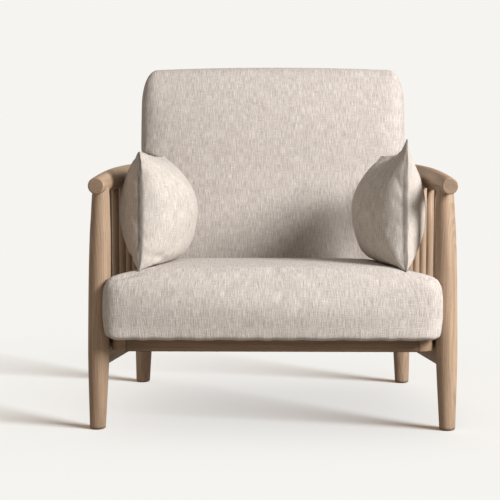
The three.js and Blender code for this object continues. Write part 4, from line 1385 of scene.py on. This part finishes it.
def placeCushion(label, s):
    side = sides[label]
    points, faces, cloth, shares = sewnCover(label, s)
    piece = meshPiece(f"cushion_{label}_cover", points, faces)
    layCloth(piece.data, cloth)
    inflate(piece, np.where(shares[:, 0] == 0, 1.0, 0.0), cushionCloth)
    local = fitBox(pointsOf(piece.data), points.min(0), points.max(0))
    setPoints(piece.data, local)
    local = crumple(local, normalsOf(piece.data), shares, cushionFolds[label])
    corner = np.clip(-shares[:, 1], 0, 1) ** 5 * np.clip(shares[:, 2], 0, 1) ** 5
    rearCorner = np.clip(shares[:, 1], 0, 1) ** 5 * np.clip(shares[:, 2], 0, 1) ** 5
    local[:, 2] += s["tip"][label] * corner + s["rearTip"] * rearCorner
    local[:, 0] *= side
    if side < 0:
        piece.data.flip_normals()
    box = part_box(f"scatter_cushion_{label}")
    angle = math.radians(s["turn"])
    middle = s["length"] / 2
    axes = chairOrigin @ shift(
        side * (chairShape["sideHalfWidth"] - s["inset"] - middle * math.sin(angle)),
        middle * math.cos(angle) - s["front"], 0
    )
    axes = axes @ rotation("Z", side * s["turn"]) @ rotation("X", -chairShape["seatRake"])
    world = inAxes(local, axes)
    world[:, 2] += box[0].z - world[:, 2].min()
    setPoints(piece.data, pressed(world, label, s["clear"]))
    # Painted shade along the border seam: a value of 1 on the seam that falls off within seamShade, by which the
    # cushion linen darkens the cloth.
    fromSeam = np.minimum((1 - np.abs(shares[:, 1])) * s["length"], (1 - np.abs(shares[:, 2])) * s["height"]) / 2
    addValues(piece.data, "seam", np.exp(-(fromSeam / s["seamShade"]) ** 2))
    subdivide(piece)
    finishPiece(piece, cushionLinen, [f"scatter_cushion_{label}"], f"cushion_{label}")


for label in sides:
    placeCushion(label, cushionShape)
print("cushions made")


# Bottom cloth under the seat frame, stapled along its border

bottomClothShape = {
    "margin": 0.006,         # from the frame's outer faces
    "gap": 0.0005,           # under the frame
    "thickness": 0.0007,
    "cell": 0.011,
    "firmBorder": 0.05,      # width over which it begins to sag
    "sag": 0.0011,
    "ripple": 0.00025,
}
stapleShape = {"pitch": 0.034, "inset": 0.007, "crown": 0.0095, "wire": 0.0007, "rise": 0.0006}


def clothOutline(s):
    cornerX, cornerY = seatFrameCorner(seatFrameShape)
    toe = math.radians(chairShape["sideToe"])
    radius = seatFrameShape["cornerRadius"]
    memberX, memberY = cornerX + radius * math.cos(toe), cornerY + radius * math.sin(toe)
    low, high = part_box("seat_bottom_cloth")
    rear = (seatAxes.inverted() @ Vector((0, high.y, low.z))).y
    front = s["margin"] - seatFrameShape["front"]

    def halfAt(y):
        alongMember = memberX - (max(y, cornerY) - memberY) * math.tan(toe) - s["margin"]
        share = min(1, (y - front) / (cornerY - front))
        return cornerX + (alongMember - cornerX) * share

    return cornerX, cornerY, front, rear, halfAt


def makeBottomCloth(s):
    cornerX, cornerY, front, rear, halfAt = clothOutline(s)
    rows = np.concatenate(
        [np.linspace(front, cornerY, 5)[:-1], np.linspace(cornerY, rear, round((rear - cornerY) / s["cell"]) + 1)]
    )
    columns = 2 * round(halfAt(cornerY) / s["cell"])
    points = []
    for side in (0, 1):
        for y in rows:
            half = halfAt(y)
            for x in np.linspace(-half, half, columns + 1):
                inner = math.prod(
                    max(0, min(1, away / s["firmBorder"])) for away in (half - abs(x), y - front, rear - y)
                )
                wave = math.sin(x * 61 + y * 23) * math.sin(y * 47)
                points.append((x, y, -s["gap"] - inner * (s["sag"] + s["ripple"] * wave) - side * s["thickness"]))
    width, sheetSize = columns + 1, (columns + 1) * len(rows)
    faces = []
    for j in range(len(rows) - 1):
        for i in range(columns):
            a = j * width + i
            faces.append((a, a + 1, a + width + 1, a + width))
            faces.append((sheetSize + a, sheetSize + a + width, sheetSize + a + width + 1, sheetSize + a + 1))
    border = list(range(columns)) + [j * width + columns for j in range(len(rows) - 1)]
    border += [(len(rows) - 1) * width + i for i in range(columns, 0, -1)]
    border += [j * width for j in range(len(rows) - 1, 0, -1)]
    for a, b in zip(border, border[1:] + border[:1]):
        faces.append((b, a, sheetSize + a, sheetSize + b))
    piece = meshPiece("bottom_cloth", points, faces, seatAxes)
    faceOutwards(piece.data)
    layCloth(piece.data, np.array([points[i][:2] for face in faces for i in face]))
    finishPiece(piece, blackCloth, ["seat_bottom_cloth"])
    area = float(np.trapz([2 * halfAt(y) for y in rows], rows))
    2 * halfAt(cornerY)


# Points along a closed line with their directions, as a mesh that the stitch and staple trees start from
def lineMesh(name, corners, pitch):
    mesh = bpy.data.meshes.new(name)
    places, directions = [], []
    for a, b in zip(corners, corners[1:] + corners[:1]):
        a, b = np.array(a, float), np.array(b, float)
        length = np.linalg.norm(b - a)
        count = max(1, round(length / pitch))
        for i in range(count):
            places.append(a + (b - a) * (i + 0.5) / count)
            directions.append((b - a) / length)
    mesh.from_pydata([tuple(p) for p in places], [], [])
    addVectors(mesh, "run", directions)
    return mesh


# One staple or stitch on each point of the line: a bent wire whose crown lies along the line
def makeStitchTree():
    tree, given, out = newGeometryTree("stitch line", [
        ("Geometry", "NodeSocketGeometry", None),
        ("Length", "NodeSocketFloat", 0.009),
        ("Wire", "NodeSocketFloat", 0.0007),
        ("Rise", "NodeSocketFloat", 0.0006),
        ("Sway", "NodeSocketFloat", 0.05),
        ("Seed", "NodeSocketInt", 3),
        ("Normal", "NodeSocketVector", (0, 0, -1)),
        ("Material", "NodeSocketMaterial", None),
    ])
    halfLength = maths(tree, "DIVIDE", given["Length"], 2.0)
    start = made(tree, "ShaderNodeCombineXYZ", {0: maths(tree, "MULTIPLY", halfLength, -1.0), 2: 0.0})
    end = made(tree, "ShaderNodeCombineXYZ", {0: halfLength, 2: 0.0})
    peak = made(tree, "ShaderNodeCombineXYZ", {2: maths(tree, "MULTIPLY", given["Rise"], 2.0)})
    wire = made(
        tree, "GeometryNodeCurveQuadraticBezier", {"Resolution": 6, "Start": start, "Middle": peak, "End": end}
    )
    ring = made(
        tree, "GeometryNodeCurvePrimitiveCircle",
        {"Resolution": 8, "Radius": maths(tree, "DIVIDE", given["Wire"], 2.0)}, mode="RADIUS"
    )
    bent = made(tree, "GeometryNodeCurveToMesh", {"Curve": wire, "Profile Curve": ring, "Fill Caps": True})
    run = readNamed(tree, "run", "FLOAT_VECTOR")
    sway = addNode(
        tree, "FunctionNodeRandomValue",
        {2: maths(tree, "MULTIPLY", given["Sway"], -1.0), 3: given["Sway"], "Seed": given["Seed"]}, data_type="FLOAT"
    ).outputs[1]
    swayed = made(
        tree, "ShaderNodeVectorRotate", {"Vector": run, "Axis": given["Normal"], "Angle": sway},
        rotation_type="AXIS_ANGLE"
    )
    turn = made(
        tree, "FunctionNodeAxesToRotation", {"Primary Axis": given["Normal"], "Secondary Axis": swayed},
        primary_axis="Z", secondary_axis="X"
    )
    wires = made(
        tree, "GeometryNodeInstanceOnPoints", {"Points": given["Geometry"], "Instance": bent, "Rotation": turn}
    )
    finishTree(tree, wires, given["Material"], out)
    return tree


def makeStaples(s, cloth, tree):
    cornerX, cornerY, front, rear, halfAt = clothOutline(cloth)
    inset = s["inset"]
    level = -cloth["gap"] - cloth["thickness"] - s["wire"] * 0.2
    rightSide = [
        (cornerX - inset, front + inset), (halfAt(cornerY) - inset, cornerY), (halfAt(rear) - inset, rear - inset),
    ]
    leftSide = [(-x, y) for x, y in rightSide]
    corners = [leftSide[0], *rightSide, leftSide[2], leftSide[1]]
    line = lineMesh("staple line", [(x, y, level) for x, y in corners], s["pitch"])
    values = {
        "Length": s["crown"], "Wire": s["wire"], "Rise": s["rise"], "Sway": 0.12, "Seed": 5, "Normal": (0, 0, -1),
        "Material": steel
    }
    piece = growPiece("staples", tree, values, seatAxes, line)
    finishPiece(piece, steel, [])


panelStitchShape = {"pitch": 0.0085, "length": 0.0062, "wire": 0.0012, "rise": 0.0007, "inset": 0.005}


def makePanelStitches(s, tree):
    half = panelShape["halfWidth"] - panelShape["margin"] - s["inset"]
    low, high = s["inset"] + panelShape["margin"], panelShape["top"] - s["inset"] - panelShape["margin"]
    depth = backShape["thickness"] - s["wire"]
    corners = [(-half, depth, low), (half, depth, low), (half, depth, high), (-half, depth, high)]
    line = lineMesh("panel stitch line", corners, s["pitch"])
    values = {
        "Length": s["length"], "Wire": s["wire"], "Rise": s["rise"], "Sway": 0.06, "Seed": 8, "Normal": (0, 1, 0),
        "Material": thread
    }
    piece = growPiece("panel_stitches", tree, values, backAxes, line)
    finishPiece(piece, thread, [])


# Finishes of the solids that are kept from the source

# Specks: a fine, even skin for metal and felt
def makeSpeckGroup():
    group, given, out = newGroup(
        "specks",
        [
            ("Vector", "NodeSocketVector", None),
            ("Light", "NodeSocketColor", (0.6, 0.6, 0.6, 1)),
            ("Dark", "NodeSocketColor", (0.4, 0.4, 0.4, 1)),
            ("Size", "NodeSocketFloat", 0.001),
            ("Smoothest", "NodeSocketFloat", 0.3),
            ("Roughest", "NodeSocketFloat", 0.6),
        ],
    )
    scaled = made(group, "ShaderNodeVectorMath", {0: given["Vector"], 1: given["Size"]}, operation="DIVIDE")
    fine = noise(group, scaled, detail=3.0, roughness=0.6)
    broad = noise(group, stretch(group, scaled, 0.12, 0.12, 0.12), detail=2.0)
    blend = ramp(group, maths(group, "MULTIPLY_ADD", broad, 0.6, maths(group, "MULTIPLY", fine, 0.4)), 0.3, 0.7)
    connect(group, mixColours(group, blend, given["Dark"], given["Light"]), out["Color"])
    connect(group, mixFloat(group, blend, given["Roughest"], given["Smoothest"]), out["Roughness"])
    connect(group, fine, out["Height"])
    return group


speckGroup = makeSpeckGroup()


def speckMaterial(name, look, metallic, relief):
    material, tree, shader = newMaterial(name, {"Metallic": metallic})
    vector = addNode(tree, "ShaderNodeTexCoord").outputs["Object"]
    placeGroup(tree, shader, speckGroup, vector, look, relief, 0.5)
    return material


# Webbing on a kept solid reads the solid's own place, turned so that the bands lie in X and Y.
def webMaterial(name, look, turned):
    material, tree, shader = newMaterial(name, {"Specular IOR Level": 0.1})
    source = addNode(tree, "ShaderNodeTexCoord").outputs["Object"]
    vector = made(tree, "ShaderNodeMapping", {"Vector": source, "Rotation": turned})
    placeGroup(tree, shader, linenGroup, vector, look, 0.0012, 0.8)
    return material


steelLook = {
    "Light": (0.62, 0.63, 0.64, 1), "Dark": (0.42, 0.43, 0.44, 1), "Size": 0.0012, "Smoothest": 0.28, "Roughest": 0.5
}
feltLook = {
    "Light": (0.11, 0.085, 0.07, 1), "Dark": (0.045, 0.036, 0.03, 1), "Size": 0.0007, "Smoothest": 0.92,
    "Roughest": 1.0
}
webLook = {
    "Pale": (0.36, 0.28, 0.18, 1), "Deep": (0.13, 0.095, 0.055, 1), "Pitch": 0.0032, "Warp Slubs": 0.5,
    "Weft Slubs": 0.5, "Relief": 1.0
}
steel = speckMaterial("zinc steel", steelLook, 1.0, 0.0001)
felt = speckMaterial("felt", feltLook, 0.0, 0.0006)
seatWebbing = webMaterial("seat webbing", webLook, (0, 0, 0))
backWebbing = webMaterial("back webbing", webLook, (quarter, 0, 0))
threadLook = {
    "Light": (0.62, 0.55, 0.47, 1), "Dark": (0.42, 0.36, 0.30, 1), "Size": 0.0009, "Smoothest": 0.8, "Roughest": 0.95
}
thread = speckMaterial("thread", threadLook, 0.0, 0.0003)
blackLook = {
    "Pale": (0.045, 0.043, 0.042, 1), "Deep": (0.012, 0.012, 0.012, 1), "Pitch": 0.0012, "Warp Slubs": 0.3,
    "Weft Slubs": 0.3, "Relief": 0.8
}
blackCloth = linenMaterial("bottom cloth", blackLook)
makeBottomCloth(bottomClothShape)
stitchTree = makeStitchTree()
makeStaples(stapleShape, bottomClothShape, stitchTree)
makePanelStitches(panelStitchShape, stitchTree)
print("cloth, staples and stitches made")
# The seat's side members and rear rail take the darker oak, painted shade under the seat.
keptFinishes = {
    "bolt": steel, "spacer": steel, "glide": felt, "seat_webbing": seatWebbing, "back_webbing": backWebbing,
    "seat_side_member": oakPaintedShadeLengthwise, "seat_rear_rail": oakPaintedShadeCrosswise, "brace": pineCrosswise,
    "back_post": pineUpright, "back_lower_rail": pineCrosswise, "back_middle_rail": pineCrosswise,
    "back_top_rail": pineCrosswise,
}
for name, solid in frame["nodes"].items():
    for word, material in keptFinishes.items():
        if word in name:
            solid.data.materials.clear()
            solid.data.materials.append(material)


# Camera: low telephoto view from straight ahead, a little above the chair's arms
cameraSettings = {
    "distance": 3.034,       # from the front legs to the lens
    "height": 0.705,
    "focalPixels": 1390,     # for a frame of 500 pixels
    "horizonRow": 110,       # row of the photo at the lens's own height
    "middleColumn": 272.6,   # column of the chair's mid-plane
}
frameSize = 500
sensorWidth = 36


def makeCamera(s):
    frontLegY = boxMiddle("front_glide_left").y
    data = bpy.data.cameras.new("camera")
    data.sensor_width = sensorWidth
    data.lens = s["focalPixels"] / frameSize * sensorWidth
    camera = bpy.data.objects.new("camera", data)
    scene.collection.objects.link(camera)
    tilt = math.atan((frameSize / 2 - s["horizonRow"]) / s["focalPixels"])
    turn = math.atan((s["middleColumn"] - frameSize / 2) / s["focalPixels"])
    camera.location = (0, frontLegY - s["distance"], s["height"])
    camera.rotation_euler = (math.pi / 2 - tilt, 0, turn)
    scene.camera = camera


makeCamera(cameraSettings)

# Studio: a pale floor without end, a broad key light from the right and an even, slightly warm sky.
# The floor has a light of its own, so that it stays as pale as the backdrop.
studio = {
    "backdrop": (0.922, 0.905, 0.871, 1),
    "sky": (0.33, 0.30, 0.268, 1),
    "key": 178,
    "keyWidth": 22,          # degrees, as seen from the chair
    "keyDistance": 3.5,
    "keyAzimuth": 52,        # degrees to the right of the camera's side
    "keyHeight": 28,
    "keyAim": (0, 0, 0.42),
    "floorBounce": (0.36, 0.33, 0.295, 1),    # what the chair gets back from the floor
    "floorSun": 4.38,
    "floorSunWidth": 26,
    "floorSunAzimuth": 63,
    "floorSunHeight": 33,
    "shadowShare": (0.88, 0.955, 1.0),     # how much of the floor's tone lies in its lights, for red, green and blue
    "floorReach": 400,
}


def towards(azimuth, height):
    a, h = math.radians(azimuth), math.radians(height)
    return Vector((math.sin(a) * math.cos(h), -math.cos(a) * math.cos(h), math.sin(h)))


def linkedPieces(name, pieces, state="INCLUDE"):
    collection = bpy.data.collections.new(name)
    for piece in pieces:
        collection.objects.link(piece)
    for item in collection.collection_objects:
        item.light_linking.link_state = state
    return collection


def makeLamp(name, kind, direction, place, **values):
    data = bpy.data.lights.new(name, kind)
    for key, value in values.items():
        setattr(data, key, value)
    lamp = bpy.data.objects.new(name, data)
    lamp.location = place
    lamp.rotation_euler = direction.to_track_quat("Z", "Y").to_euler()
    scene.collection.objects.link(lamp)
    return lamp


def makeStudio(s):
    scene.view_settings.view_transform = "Standard"
    reach = s["floorReach"]
    floor = meshPiece(
        "floor", [(-reach, -reach, 0), (reach, -reach, 0), (reach, reach, 0), (-reach, reach, 0)], [(0, 1, 2, 3)]
    )
    sunShare = s["floorSun"] * math.sin(math.radians(s["floorSunHeight"])) / math.pi
    share = s["shadowShare"][0]
    albedo = [
        tone * part / share / (sky + sunShare) for tone, part, sky in zip(s["backdrop"], s["shadowShare"], s["sky"])
    ]
    still = [tone * (1 - part) / (1 - share) for tone, part in zip(s["backdrop"], s["shadowShare"])]
    material, tree, shader = newMaterial(
        "floor", {"Base Color": (*albedo, 1), "Roughness": 1.0, "Specular IOR Level": 0.0}
    )
    glow = made(tree, "ShaderNodeEmission", {"Color": (*still, 1)})
    shown = made(tree, "ShaderNodeMixShader", {0: share, 1: glow, 2: shader.outputs[0]})
    bounce = made(tree, "ShaderNodeBsdfDiffuse", {"Color": s["floorBounce"]})
    seen = addNode(tree, "ShaderNodeLightPath").outputs["Is Camera Ray"]
    blend = made(tree, "ShaderNodeMixShader", {0: seen, 1: bounce, 2: shown})
    tree.links.new(blend, tree.nodes["Material Output"].inputs[0])
    floor.data.materials.append(material)
    world = bpy.data.worlds.new("studio")
    scene.world = world
    world.use_nodes = True
    tree = world.node_tree
    sky = tree.nodes["Background"]
    sky.inputs[0].default_value = s["sky"]
    wall = made(tree, "ShaderNodeBackground", {"Color": s["backdrop"]})
    seen = addNode(tree, "ShaderNodeLightPath").outputs["Is Camera Ray"]
    blend = made(tree, "ShaderNodeMixShader", {0: seen, 1: sky.outputs[0], 2: wall})
    tree.links.new(blend, tree.nodes["World Output"].inputs[0])
    direction = towards(s["keyAzimuth"], s["keyHeight"])
    size = 2 * s["keyDistance"] * math.tan(math.radians(s["keyWidth"] / 2))
    place = Vector(s["keyAim"]) + direction * s["keyDistance"]
    key = makeLamp("key", "AREA", direction, place, energy=s["key"], shape="DISK", size=size)
    key.light_linking.receiver_collection = linkedPieces("all but the floor", [floor], "EXCLUDE")
    direction = towards(s["floorSunAzimuth"], s["floorSunHeight"])
    width = math.radians(s["floorSunWidth"])
    sun = makeLamp("floor sun", "SUN", direction, direction * 5, energy=s["floorSun"], angle=width)
    sun.light_linking.receiver_collection = linkedPieces("the floor", [floor])
    legs = [piece for piece in scene.objects if piece.name.startswith("turned_")]
    sun.light_linking.blocker_collection = linkedPieces("the legs", legs)


makeStudio(studio)
print("studio ready")
